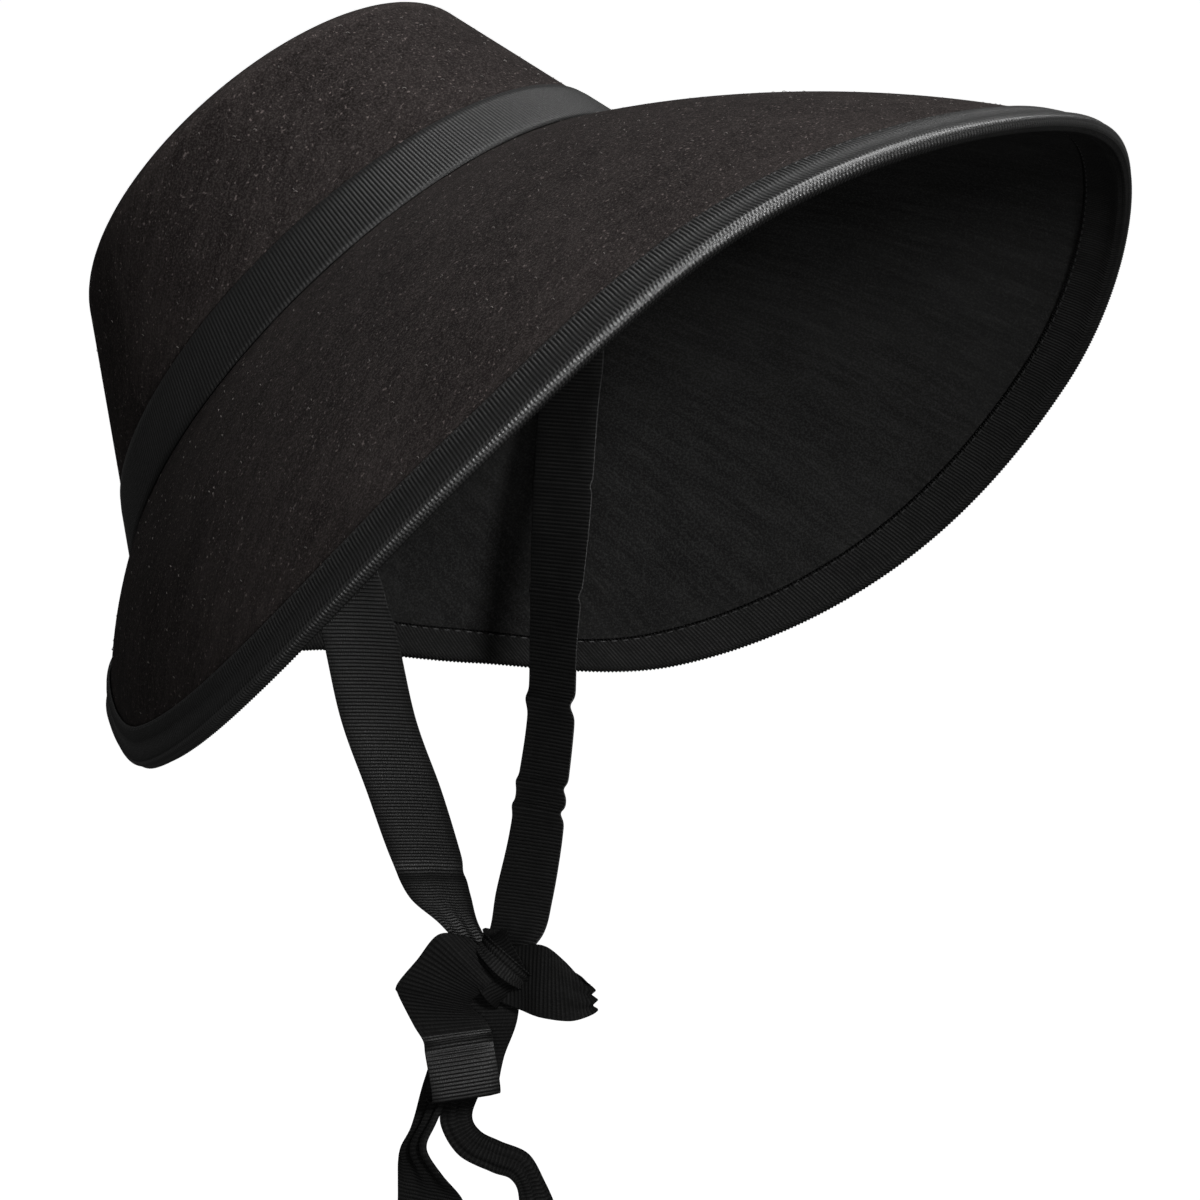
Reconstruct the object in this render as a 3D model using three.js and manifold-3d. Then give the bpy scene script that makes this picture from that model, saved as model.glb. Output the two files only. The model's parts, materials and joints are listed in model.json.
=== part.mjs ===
// A black felt prairie bonnet: a deep poke brim under a small tapered crown, bound and banded with grosgrain
// ribbon, and tied under the chin by two ribbons with a knot, two loops and two tails.
// Millimetres, worn upright: +Z is up, -Y is the wearer's front and +X is the wearer's left.
// The origin is the centre of the headline, the oval where the brim meets the crown.

import * as THREE from "three";
import { mergeVertices } from "three/addons/utils/BufferGeometryUtils.js";
import Module from "manifold-3d";

const wasm = await Module();
wasm.setup();

// Driving dimensions of the felt
const HEADLINE_GIRTH = 600;
const HEADLINE_RATIO = 1.24;
const HEADLINE_TILT = 47;
const CROWN_HEIGHT = 74;
const TIP_HALF_BREADTH = 67;
const TIP_HALF_LENGTH = 70;
const TIP_FORWARD = 13;
const TIP_EDGE_RADIUS = 6;
const COLLAR_HEIGHT = 14;
const FELT = 2.5;
const FELT_ACROSS = 2.8;

// Driving dimensions of the ribbon
const RIBBON_WIDTH = 22;
const BAND_WIDTH = 18.5;
const TRIM_THICKNESS = 0.8;
const TIE_THICKNESS = 1;
const BEAD_REACH = 3;
const KNOT_CENTRE = new THREE.Vector3(0, -36, -176);
const KNOT_HALF_SIZE = new THREE.Vector3(14, 9, 10);
const KNOT_LEAN = -38;
const BOW_TURN = -55;

// Clearances and mesh steps
const GAP = 0.3;
const SEAT_GAP = 0.4;
const HEADLINE_STEPS = 72;
const RIBBON_STEPS = 3;
const KNOT_SIDES = 18;
const KNOT_ROWS = 10;
const RIBBON_CORNERS = 4;
const BRIM_SHARES = [0.1, 0.25, 0.4, 0.55, 0.7, 0.85, 1];
const TIP_EDGE_TURNS = [90, 67, 45, 22, 0];
const INNER_EDGE_TURNS = [0, 45, 90];
const BEAD_TURNS = [90, 45, 0, -45, -90];

// Brim sections round one half of the headline, from the front at 0 degrees to the back at 180:
// the width of the brim, the mean angle that it drops at and how far that angle bows along the width
const BRIM_SECTIONS = [
  { angle: 0, width: 150, drop: 46, bow: 22 },
  { angle: 30, width: 144, drop: 46, bow: 27 },
  { angle: 60, width: 140, drop: 51, bow: 30 },
  { angle: 90, width: 127, drop: 54, bow: 31 },
  { angle: 115, width: 98, drop: 54, bow: 29 },
  { angle: 135, width: 55, drop: 50, bow: 25 },
  { angle: 155, width: 25, drop: 38, bow: 20 },
  { angle: 180, width: 17, drop: 28, bow: 14 },
];

// Stations of the ties from the headline to the knot: the ribbon's centre, its width, and how far its face
// turns from the wearer's side towards the front
const RIGHT_TIE = [
  { x: -72, y: -11, z: 25, width: 22, face: 0 },
  { x: -73.5, y: -13, z: 14, width: 22, face: 0 },
  { x: -76, y: -17, z: 0, width: 22, face: 2 },
  { x: -77, y: -25, z: -16, width: 22, face: 5 },
  { x: -74, y: -32, z: -38, width: 22, face: 9 },
  { x: -66, y: -36, z: -65, width: 22, face: 12 },
  { x: -53, y: -34, z: -95, width: 22, face: 14 },
  { x: -41, y: -34, z: -117, width: 22, face: 16 },
  { x: -28, y: -32, z: -138, width: 21, face: 20 },
  { x: -18, y: -30, z: -152, width: 18, face: 26 },
  { x: -10, y: -31, z: -161, width: 11, face: 32 },
  { x: -3, y: -34, z: -171, width: 8, face: 32 },
];
const LEFT_TIE = [
  { x: 72, y: -11, z: 25, width: 22, face: 0 },
  { x: 73.4, y: -13, z: 14, width: 22, face: 0 },
  { x: 75.5, y: -12, z: 0, width: 22, face: 0 },
  { x: 75.5, y: -10, z: -16, width: 22, face: 0 },
  { x: 70, y: -11, z: -50, width: 22, face: 2 },
  { x: 59, y: -16, z: -85, width: 22, face: 14 },
  { x: 49, y: -22, z: -108, width: 22, face: 15 },
  { x: 37, y: -27, z: -129, width: 22, face: 12 },
  { x: 28, y: -31, z: -142, width: 21, face: 6 },
  { x: 17, y: -35, z: -156, width: 20, face: 2 },
  { x: 9, y: -38, z: -165, width: 16, face: 0 },
  { x: 3, y: -37, z: -172, width: 9, face: 0 },
];

// Stations of the bow's ribbons from the knot's centre, seen from the wearer's front right: across to the
// right, towards the viewer and up, the ribbon's width, and the width's roll and yaw from straight across
const FRONT_LOOP = [
  { across: -1, toward: 2, up: 2, width: 10, roll: -40, yaw: 0 },
  { across: -11, toward: 8, up: 2, width: 18, roll: -38, yaw: 0 },
  { across: -18, toward: 11, up: -5, width: 22, roll: -28, yaw: 0 },
  { across: -16, toward: 11, up: -13, width: 22, roll: -8, yaw: 0 },
  { across: -11, toward: 9, up: -19, width: 21, roll: 10, yaw: 0 },
  { across: -9, toward: 9, up: -29, width: 21, roll: 9, yaw: 0 },
  { across: -8, toward: 6, up: -38, width: 21, roll: 9, yaw: 0 },
  { across: -7, toward: 2, up: -35, width: 21, roll: 7, yaw: 0 },
  { across: -5, toward: 1, up: -24, width: 21, roll: 5, yaw: 0 },
  { across: -2, toward: 2, up: -13, width: 19, roll: 3, yaw: 0 },
  { across: 1, toward: 1, up: -3, width: 11, roll: 0, yaw: 0 },
];
const RIGHT_LOOP = [
  { across: 2, toward: 3, up: -1, width: 11, roll: 90, yaw: 0 },
  { across: 11, toward: 6, up: -3, width: 16, roll: 94, yaw: 0 },
  { across: 18, toward: 7, up: -4, width: 20, roll: 97, yaw: 0 },
  { across: 25, toward: 5, up: -5, width: 18, roll: 95, yaw: 0 },
  { across: 30, toward: 1, up: -4, width: 13, roll: 92, yaw: 0 },
  { across: 25, toward: 0, up: -3, width: 13, roll: 88, yaw: 0 },
  { across: 15, toward: 1, up: -3, width: 12, roll: 86, yaw: 0 },
  { across: 2, toward: 0, up: -1, width: 9, roll: 88, yaw: 0 },
];
const LEFT_TAIL = [
  { across: -2, toward: -2, up: -4, width: 9, roll: 0, yaw: 0 },
  { across: -9, toward: -5, up: -18, width: 12, roll: 4, yaw: 0 },
  { across: -16, toward: -5, up: -34, width: 12, roll: 8, yaw: 12 },
  { across: -22, toward: -4, up: -47, width: 12, roll: 16, yaw: 34 },
  { across: -24, toward: -3, up: -54, width: 14, roll: 12, yaw: 50 },
  { across: -21, toward: -3, up: -61, width: 20, roll: -14, yaw: 28 },
  { across: -19, toward: -4, up: -69, width: 22, roll: -12, yaw: 10 },
  { across: -18, toward: -5, up: -79, width: 22, roll: -4, yaw: 6 },
  { across: -18, toward: -6, up: -92, width: 22, roll: 0, yaw: 6 },
];
const RIGHT_TAIL = [
  { across: 0, toward: -4, up: -5, width: 9, roll: 0, yaw: 0 },
  { across: -4, toward: -9, up: -20, width: 13, roll: -4, yaw: 0 },
  { across: -10, toward: -10, up: -38, width: 14, roll: -6, yaw: -14 },
  { across: -12, toward: -10, up: -48, width: 13, roll: 18, yaw: -20 },
  { across: -7, toward: -9, up: -56, width: 12, roll: 46, yaw: -20 },
  { across: 2, toward: -8, up: -60, width: 12, roll: 68, yaw: -16 },
  { across: 9, toward: -8, up: -64, width: 13, roll: 38, yaw: -20 },
  { across: 13, toward: -9, up: -72, width: 14, roll: 14, yaw: -24 },
  { across: 15, toward: -9, up: -82, width: 18, roll: 4, yaw: -20 },
  { across: 16, toward: -9, up: -94, width: 20, roll: 0, yaw: -16 },
];

// Worked-out sizes and directions
const TILT = THREE.MathUtils.degToRad(HEADLINE_TILT);
const SIDE = new THREE.Vector3(1, 0, 0);
const FRONT = new THREE.Vector3(0, -Math.cos(TILT), Math.sin(TILT));
const AXIS = new THREE.Vector3(0, Math.sin(TILT), Math.cos(TILT));
const OVAL_SUM = 3 * (1 + HEADLINE_RATIO) - Math.sqrt((3 + HEADLINE_RATIO) * (1 + 3 * HEADLINE_RATIO));
const HALF_BREADTH = HEADLINE_GIRTH / (Math.PI * OVAL_SUM);
const HALF_LENGTH = HALF_BREADTH * HEADLINE_RATIO;
const CROWN_INSET = TRIM_THICKNESS + GAP;
const CROWN_INNER_INSET = CROWN_INSET + FELT_ACROSS;
const COLLAR_INSET = CROWN_INNER_INSET + GAP;
const COLLAR_INNER_INSET = COLLAR_INSET + FELT_ACROSS;
const BINDING_LEG = RIBBON_WIDTH / 2;

// Values between the brim sections, mirrored so that both halves are alike
function brimTable() {
  const half = BRIM_SECTIONS;
  const before = half.slice(1).reverse().map((row) => ({ ...row, angle: -row.angle }));
  const after = half.slice(0, -1).reverse().map((row) => ({ ...row, angle: 360 - row.angle }));
  const rows = [...before, ...half, ...after];
  const angles = rows.map((row) => row.angle);
  const values = rows.flatMap((row) => [row.width, row.drop, row.bow]);
  const valuesPerRow = values.length / rows.length;
  return new THREE.CubicInterpolant(angles, values, valuesPerRow, new Float64Array(valuesPerRow));
}

const brimValues = brimTable();

function brimSection(angle) {
  const [width, drop, bow] = brimValues.evaluate(Math.min(angle, 360 - angle));
  const dropMean = THREE.MathUtils.degToRad(drop);
  const bowAngle = THREE.MathUtils.degToRad(bow);
  return { width, bowAngle, dropStart: dropMean - bowAngle / 2 };
}

// A point on an oval ring of the crown or its collar, inset from the outer face of the band
function crownPoint(angle, height, inset) {
  const turn = THREE.MathUtils.degToRad(angle);
  const share = height / CROWN_HEIGHT;
  const breadth = THREE.MathUtils.lerp(HALF_BREADTH, TIP_HALF_BREADTH, share) - inset;
  const length = THREE.MathUtils.lerp(HALF_LENGTH, TIP_HALF_LENGTH, share) - inset;
  return new THREE.Vector3()
    .addScaledVector(SIDE, breadth * Math.sin(turn))
    .addScaledVector(FRONT, length * Math.cos(turn) + TIP_FORWARD * share)
    .addScaledVector(AXIS, height);
}

// The way out of the headline oval, level with its plane
function outward(angle) {
  const turn = THREE.MathUtils.degToRad(angle);
  return new THREE.Vector3()
    .addScaledVector(SIDE, HALF_LENGTH * Math.sin(turn))
    .addScaledVector(FRONT, HALF_BREADTH * Math.cos(turn))
    .normalize();
}

// A point at a reach along the brim's arc and an offset off its outer face; past the felt it goes on straight
function brimPoint(angle, reach, offset) {
  const { width, bowAngle, dropStart } = brimSection(angle);
  const feltReach = width - BEAD_REACH;
  const arcReach = Math.min(reach, feltReach);
  const past = reach - arcReach;
  const radius = width / bowAngle;
  const drop = dropStart + arcReach / radius;
  const arcOut = radius * (Math.sin(drop) - Math.sin(dropStart));
  const arcDown = radius * (Math.cos(dropStart) - Math.cos(drop));
  const out = arcOut + past * Math.cos(drop) + offset * Math.sin(drop);
  const down = arcDown + past * Math.sin(drop) - offset * Math.cos(drop);
  return crownPoint(angle, 0, 0).addScaledVector(outward(angle), out).addScaledVector(AXIS, -down);
}

// The height at which a ring with this inset meets the brim's outer face
function brimHeight(angle, inset) {
  return inset * Math.tan(brimSection(angle).dropStart);
}

function seatHeight(angle, inset) {
  return Math.max(brimHeight(angle, inset), 0) + SEAT_GAP;
}

function ring(pointAt) {
  return Array.from({ length: HEADLINE_STEPS }, (_, step) => pointAt((360 * step) / HEADLINE_STEPS));
}

// A geometry of welded points and triangles, turned so that its faces point out
function solidGeometry(points, triangles) {
  let volume = 0;
  for (const [a, b, c] of triangles) {
    volume += points[a].dot(new THREE.Vector3().crossVectors(points[b], points[c]));
  }
  const turned = volume < 0 ? triangles.map(([a, b, c]) => [a, c, b]) : triangles;
  const geometry = new THREE.BufferGeometry();
  geometry.setAttribute("position", new THREE.Float32BufferAttribute(points.flatMap((p) => p.toArray()), 3));
  geometry.setIndex(turned.flat());
  return geometry;
}

// A body skinned over closed rings: a ring of one point is a pole, and without poles the last ring
// meets the first
function ringSolid(rings) {
  const points = rings.flat();
  const starts = [];
  let count = 0;
  for (const row of rings) {
    starts.push(count);
    count += row.length;
  }
  const triangles = [];
  const hasPoles = rings[0].length === 1;
  const pairs = hasPoles ? rings.length - 1 : rings.length;
  for (let row = 0; row < pairs; row += 1) {
    const next = (row + 1) % rings.length;
    const steps = Math.max(rings[row].length, rings[next].length);
    for (let step = 0; step < steps; step += 1) {
      const corner = (which, shift) => starts[which] + ((step + shift) % rings[which].length);
      const [a, b, c, d] = [corner(row, 0), corner(row, 1), corner(next, 1), corner(next, 0)];
      if (a === b) {
        triangles.push([a, c, d]);
      } else if (c === d) {
        triangles.push([a, b, c]);
      } else if (points[a].distanceTo(points[c]) < points[b].distanceTo(points[d])) {
        triangles.push([a, b, c], [a, c, d]);
      } else {
        triangles.push([a, b, d], [b, c, d]);
      }
    }
  }
  return solidGeometry(points, triangles);
}

// A strip of ribbon through stations that each give its centre and half of its width as vectors
function ribbonSolid(stations) {
  const centres = new THREE.CatmullRomCurve3(stations.map((station) => station.centre));
  const halves = new THREE.CatmullRomCurve3(stations.map((station) => station.half), false, "catmullrom");
  const steps = (stations.length - 1) * RIBBON_STEPS;
  const points = [];
  const triangles = [];
  for (let step = 0; step <= steps; step += 1) {
    const centre = centres.getPoint(step / steps);
    const half = halves.getPoint(step / steps);
    const along = centres.getTangent(step / steps);
    const face = new THREE.Vector3().crossVectors(along, half).setLength(TIE_THICKNESS / 2);
    const left = centre.clone().sub(half);
    const right = centre.clone().add(half);
    points.push(left.clone().sub(face), right.clone().sub(face));
    points.push(right.clone().add(face), left.clone().add(face));
  }
  for (let step = 0; step < steps; step += 1) {
    for (let side = 0; side < RIBBON_CORNERS; side += 1) {
      const a = step * RIBBON_CORNERS + side;
      const b = step * RIBBON_CORNERS + ((side + 1) % RIBBON_CORNERS);
      triangles.push([a, b, a + RIBBON_CORNERS], [b, b + RIBBON_CORNERS, a + RIBBON_CORNERS]);
    }
  }
  const last = steps * RIBBON_CORNERS;
  triangles.push([0, 2, 1], [0, 3, 2], [last, last + 1, last + 2], [last, last + 2, last + 3]);
  return solidGeometry(points, triangles);
}

// Booleans on closed geometries
function toManifold(geometry) {
  const bare = geometry.clone();
  bare.deleteAttribute("normal");
  bare.deleteAttribute("uv");
  const welded = mergeVertices(bare);
  return new wasm.Manifold(new wasm.Mesh({
    numProp: 3,
    vertProperties: Float32Array.from(welded.attributes.position.array),
    triVerts: Uint32Array.from(welded.index.array),
  }));
}

function toGeometry(manifold) {
  const mesh = manifold.getMesh();
  const geometry = new THREE.BufferGeometry();
  geometry.setAttribute("position", new THREE.BufferAttribute(mesh.vertProperties, 3));
  geometry.setIndex(Array.from(mesh.triVerts));
  return geometry;
}

// Felt: the brim with its collar
function brimGeometry() {
  const face = (reachAt, offset) => ring((angle) => {
    const feltReach = brimSection(angle).width - BEAD_REACH;
    return brimPoint(angle, reachAt(feltReach), offset);
  });
  const open = BRIM_SHARES.map((share) => (feltReach) => share * (feltReach - BINDING_LEG));
  const reaches = [...open, (feltReach) => feltReach];
  const collar = (inset, height) => ring((angle) => crownPoint(angle, height(angle), inset));
  const outerFoot = (angle) => brimHeight(angle, COLLAR_INSET);
  const innerFoot = (angle) => brimHeight(angle, COLLAR_INNER_INSET) - FELT;
  return ringSolid([
    collar(COLLAR_INSET, () => COLLAR_HEIGHT),
    collar(COLLAR_INSET, outerFoot),
    ...reaches.map((reachAt) => face(reachAt, 0)),
    ...reaches.toReversed().map((reachAt) => face(reachAt, -FELT)),
    collar(COLLAR_INNER_INSET, innerFoot),
    collar(COLLAR_INNER_INSET, () => COLLAR_HEIGHT),
  ]);
}

// Felt: the crown, with its wall, rounded tip edge and flat tip
function crownGeometry() {
  const edgeRing = (turnDegrees, radius, top, inset) => ring((angle) => {
    const turn = THREE.MathUtils.degToRad(turnDegrees);
    const height = top - radius * (1 - Math.sin(turn));
    return crownPoint(angle, height, inset + radius * (1 - Math.cos(turn)));
  });
  const footRing = (inset) => ring((angle) => crownPoint(angle, seatHeight(angle, inset), inset));
  const wallRing = (height, inset) => ring((angle) => crownPoint(angle, height, inset));
  const tipCentre = (height) => [
    new THREE.Vector3().addScaledVector(FRONT, TIP_FORWARD).addScaledVector(AXIS, height),
  ];
  const innerTop = CROWN_HEIGHT - FELT;
  const innerRadius = TIP_EDGE_RADIUS - FELT;
  return ringSolid([
    tipCentre(CROWN_HEIGHT),
    ...TIP_EDGE_TURNS.map((turn) => edgeRing(turn, TIP_EDGE_RADIUS, CROWN_HEIGHT, CROWN_INSET)),
    wallRing(BAND_WIDTH, CROWN_INSET),
    footRing(CROWN_INSET),
    footRing(CROWN_INNER_INSET),
    wallRing(COLLAR_HEIGHT, CROWN_INNER_INSET),
    ...INNER_EDGE_TURNS.map((turn) => edgeRing(turn, innerRadius, innerTop, CROWN_INNER_INSET)),
    tipCentre(innerTop),
  ]);
}

// Ribbon round the foot of the crown
function bandGeometry() {
  const foot = (inset) => ring((angle) => crownPoint(angle, seatHeight(angle, inset), inset));
  const head = (inset) => ring((angle) => crownPoint(angle, BAND_WIDTH, inset));
  return ringSolid([foot(0), head(0), head(TRIM_THICKNESS), foot(TRIM_THICKNESS)]);
}

// Ribbon folded over the brim's edge, with a round bead along the fold
function bindingGeometry() {
  const inner = GAP;
  const outer = GAP + TRIM_THICKNESS;
  const beadRadius = FELT / 2 + outer;
  const beadCentre = BEAD_REACH - beadRadius;
  const edgeRing = (along, offset) => ring((angle) => {
    const feltReach = brimSection(angle).width - BEAD_REACH;
    return brimPoint(angle, feltReach + along, offset);
  });
  const beadRing = (turnDegrees) => {
    const turn = THREE.MathUtils.degToRad(turnDegrees);
    return edgeRing(beadCentre + beadRadius * Math.cos(turn), beadRadius * Math.sin(turn) - FELT / 2);
  };
  return ringSolid([
    edgeRing(-BINDING_LEG, inner),
    edgeRing(-BINDING_LEG, outer),
    ...BEAD_TURNS.map(beadRing),
    edgeRing(-BINDING_LEG, -FELT - outer),
    edgeRing(-BINDING_LEG, -FELT - inner),
    edgeRing(inner, -FELT - inner),
    edgeRing(inner, inner),
  ]);
}

// Ribbons of the ties and the bow, each cut clear of the knot
function knotGeometry(grow) {
  const geometry = new THREE.SphereGeometry(1, KNOT_SIDES, KNOT_ROWS);
  const size = KNOT_HALF_SIZE.clone().addScalar(grow);
  geometry.scale(size.x, size.y, size.z);
  geometry.rotateY(THREE.MathUtils.degToRad(-KNOT_LEAN));
  geometry.rotateZ(THREE.MathUtils.degToRad(BOW_TURN));
  geometry.translate(...KNOT_CENTRE.toArray());
  return geometry;
}

const knotRoom = toManifold(knotGeometry(GAP));

function cutAtKnot(geometry) {
  return toGeometry(toManifold(geometry).subtract(knotRoom));
}

function tieGeometry(rows, side) {
  const stations = rows.map((row) => {
    const turn = THREE.MathUtils.degToRad(row.face);
    const half = new THREE.Vector3(side * Math.sin(turn), Math.cos(turn), 0).multiplyScalar(row.width / 2);
    return { centre: new THREE.Vector3(row.x, row.y, row.z), half };
  });
  return cutAtKnot(ribbonSolid(stations));
}

function bowGeometry(rows) {
  const turn = THREE.MathUtils.degToRad(BOW_TURN);
  const across = new THREE.Vector3(Math.cos(turn), Math.sin(turn), 0);
  const toward = new THREE.Vector3(Math.sin(turn), -Math.cos(turn), 0);
  const up = new THREE.Vector3(0, 0, 1);
  const place = (a, t, u) => new THREE.Vector3()
    .addScaledVector(across, a)
    .addScaledVector(toward, t)
    .addScaledVector(up, u);
  const stations = rows.map((row) => {
    const roll = THREE.MathUtils.degToRad(row.roll);
    const yaw = THREE.MathUtils.degToRad(row.yaw);
    const level = Math.cos(yaw) * Math.cos(roll);
    const half = place(level, Math.sin(yaw), Math.cos(yaw) * Math.sin(roll)).multiplyScalar(row.width / 2);
    return { centre: place(row.across, row.toward, row.up).add(KNOT_CENTRE), half };
  });
  return cutAtKnot(ribbonSolid(stations));
}

// Finishes
const outsideFelt = new THREE.MeshStandardMaterial({ color: 0x1c1817, roughness: 0.97, metalness: 0 });
const brimFelt = new THREE.MeshStandardMaterial({ color: 0x1a1716, roughness: 0.97, metalness: 0 });
const grosgrain = new THREE.MeshStandardMaterial({ color: 0x141414, roughness: 0.72, metalness: 0 });

// The assembled bonnet
const bonnet = new THREE.Group();

function addPiece(name, geometry, material) {
  const piece = new THREE.Mesh(geometry, material);
  piece.name = name;
  bonnet.add(piece);
}

addPiece("brim", brimGeometry(), brimFelt);
addPiece("crown", crownGeometry(), outsideFelt);
addPiece("band", bandGeometry(), grosgrain);
addPiece("brim_binding", bindingGeometry(), grosgrain);
addPiece("tie_right", tieGeometry(RIGHT_TIE, -1), grosgrain);
addPiece("tie_left", tieGeometry(LEFT_TIE, 1), grosgrain);
addPiece("knot", knotGeometry(0), grosgrain);
addPiece("bow_loop_front", bowGeometry(FRONT_LOOP), grosgrain);
addPiece("bow_loop_right", bowGeometry(RIGHT_LOOP), grosgrain);
addPiece("tail_left", bowGeometry(LEFT_TAIL), grosgrain);
addPiece("tail_right", bowGeometry(RIGHT_TAIL), grosgrain);

export default bonnet;
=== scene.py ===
"""Looks of a black felt prairie bonnet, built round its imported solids.

The file is laid out as an add-on: settings, one operator for each piece and a panel in the sidebar.
Shapes are worked out in millimetres in the row frame, and made into meshes in metres.
"""

import json
import math

import bpy
import numpy as np
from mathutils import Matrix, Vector

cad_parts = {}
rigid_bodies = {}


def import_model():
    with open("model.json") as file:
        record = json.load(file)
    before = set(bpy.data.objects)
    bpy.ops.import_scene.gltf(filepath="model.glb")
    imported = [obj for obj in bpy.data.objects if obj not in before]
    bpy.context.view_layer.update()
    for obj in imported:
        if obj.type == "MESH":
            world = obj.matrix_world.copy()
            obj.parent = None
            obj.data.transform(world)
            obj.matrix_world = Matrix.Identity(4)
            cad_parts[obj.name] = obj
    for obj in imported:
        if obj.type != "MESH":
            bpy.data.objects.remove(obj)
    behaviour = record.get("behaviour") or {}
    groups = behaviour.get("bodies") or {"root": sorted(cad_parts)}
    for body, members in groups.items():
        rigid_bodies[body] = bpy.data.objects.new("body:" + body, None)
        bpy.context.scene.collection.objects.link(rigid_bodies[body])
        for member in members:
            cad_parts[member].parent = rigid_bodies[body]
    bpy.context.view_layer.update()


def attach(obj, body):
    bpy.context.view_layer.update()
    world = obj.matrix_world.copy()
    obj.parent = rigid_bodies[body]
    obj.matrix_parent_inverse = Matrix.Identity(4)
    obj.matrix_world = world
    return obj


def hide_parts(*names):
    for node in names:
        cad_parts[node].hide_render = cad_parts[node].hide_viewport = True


bl_info = {
    "name": "Prairie bonnet",
    "version": (1, 0, 0),
    "blender": (4, 5, 0),
    "location": "View3D > Sidebar > Bonnet",
    "description": "Builds the felt, the ribbons and the stage of a prairie bonnet",
    "category": "Object",
}

# The start-up scene is cleared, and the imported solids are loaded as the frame
for startup_object in list(bpy.data.objects):
    bpy.data.objects.remove(startup_object)
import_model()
BODY = "root"
MM = 0.001

# Felt sizes
HEADLINE_GIRTH = 600.0
HEADLINE_RATIO = 1.24
HEADLINE_TILT = math.radians(47.0)
CROWN_HEIGHT = 74.0
TIP_HALF_BREADTH = 67.0
TIP_HALF_LENGTH = 70.0
TIP_FORWARD = 13.0
TIP_EDGE_RADIUS = 6.0
TIP_SAG = 0.9
COLLAR_HEIGHT = 14.0
COLLAR_OUTER_HEIGHTS = (COLLAR_HEIGHT, 13.5, 8.0, 3.0)
COLLAR_INNER_HEIGHTS = (13.5, COLLAR_HEIGHT)
COLLAR_BEND_TOP = 9.0
FELT = 2.5
CROWN_INSET = 1.1
CROWN_INNER_INSET = 3.9
COLLAR_INSET = 4.2
COLLAR_INNER_INSET = 7.0
SEAT_GAP = 0.4
BRIM_INNER_START = 7.0
BRIM_EDGE_TONE_START = 0.75
BRIM_MAP_GIRTH = 785.0
CROWN_MAP_GIRTH = 560.0
FELT_LAY = Vector((0.247, -0.144, 0.9625))

# Ribbon sizes
BAND_WIDTH = 18.5
BAND_SINK = 0.15
TRIM = 0.8
TRIM_SINK = 0.2
BINDING_LEG = 11.0
BINDING_GAP = 0.3
BEAD_REACH = 3.0
BEAD_CLEARANCE = 0.1
BEAD_BULGE = 0.25
BEAD_HALF_TURN = 98.0
BEAD_ROW = 49.0
BEAD_RIB_LOW = 0.25
BEAD_RIB_RISE = 1.05
GATHER_WAVES = 2.6
CREASE_LEAN = 0.25
CREASE_NARROWING = 0.05
KNOT_CURL = 1.4
KNOT_FOLDS = 0.03
KNOT_PINCH = 0.28
KNOT_CENTRE = np.array((0.0, -36.0, -176.0))
BOW_TURN = math.radians(-55.0)

# Finishes of the ribbon by number, with their looks: name, tone, gloss, roughness, tone between the ribs
# (painted shade)
FACE = 0
SHADED_BACK = 1
INSIDE = 2
BEAD = 3
# The tones are lit and shaded copies of one ribbon: the back is darker as painted shade, the inside
# lighter and duller as painted light on shaded parts, the bead lighter as a painted highlight
GROSGRAIN = (
    ("grosgrain_face", 1.0, 0.36, 0.40, 0.25),
    ("grosgrain_back_painted_shade", 0.55, 0.12, 0.62, 0.6),
    ("grosgrain_inside_painted_light", 1.25, 0.14, 0.62, 0.5),
    ("grosgrain_bead_painted_highlight", 1.7, 0.80, 0.28, 0.1),
)

# Height of the ribs on a dull ribbon and on the band, and the part of the width where they fade out
BACK_RIBS = 0.5
BAND_RIBS = 0.55
RIB_FADE = 0.16
BAND_RIB_FADE = 0.09

# Stitches and lint: places in millimetres, the thread's and the fibres' own sizes in metres
STITCH_LINE = 9.9
STITCH_SINK = 0.12
STITCH_SHARE = 0.68
THREAD_RADIUS = 0.0003
THREAD_ROUGHNESS = 0.5
LINT_LENGTH = 0.00058
LINT_RADIUS = 0.00005
LINT_LIFT = 0.05
LINT_MARGIN = 3.0
LINT_BAND_MARGIN = 2.0
LINT_COLOR = (0.20, 0.185, 0.175)
LINT_ROUGHNESS = 0.8

# Patterns: waves per metre on each axis, detail, roughness, where the spread starts and ends
NAP = ((1500.0, 1500.0, 1500.0), 4.0, 0.7, 0.46, 0.63)
OUTSIDE_STREAKS = ((1000.0, 1000.0, 110.0), 3.0, 0.6, 0.40, 0.72)
OUTSIDE_BANDS = ((230.0, 230.0, 26.0), 2.0, 0.5, 0.35, 0.70)
OUTSIDE_SPECKS = ((900.0, 900.0, 900.0), 1.0, 0.5, 0.66, 0.76)
INSIDE_STREAKS = ((1000.0, 90.0, 1.0), 3.0, 0.6, 0.40, 0.72)
INSIDE_BANDS = ((230.0, 24.0, 1.0), 2.0, 0.5, 0.35, 0.70)
INSIDE_SPECKS = ((900.0, 900.0, 900.0), 1.0, 0.5, 0.90, 1.0)
FELT_PATCHES = ((24.0, 24.0, 24.0), 2.0, 0.5, 0.30, 0.75)
YARN = ((500.0, 3200.0, 1.0), 2.0, 0.6, 0.32, 0.72)
RIBBON_CLOUDS = ((90.0, 140.0, 1.0), 3.0, 0.5, 0.30, 0.75)
UNEVEN_RIBS = ((770.0, 60.0, 1.0), 2.0, 0.5, 0.35, 0.72)
THREAD_TWIST = ((1800.0, 1800.0, 1800.0), 2.0, 0.5, 0.3, 0.7)
PAPER_GRAIN = ((3.0, 3.0, 3.0), 2.0, 0.5, 0.2, 0.8)

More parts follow.
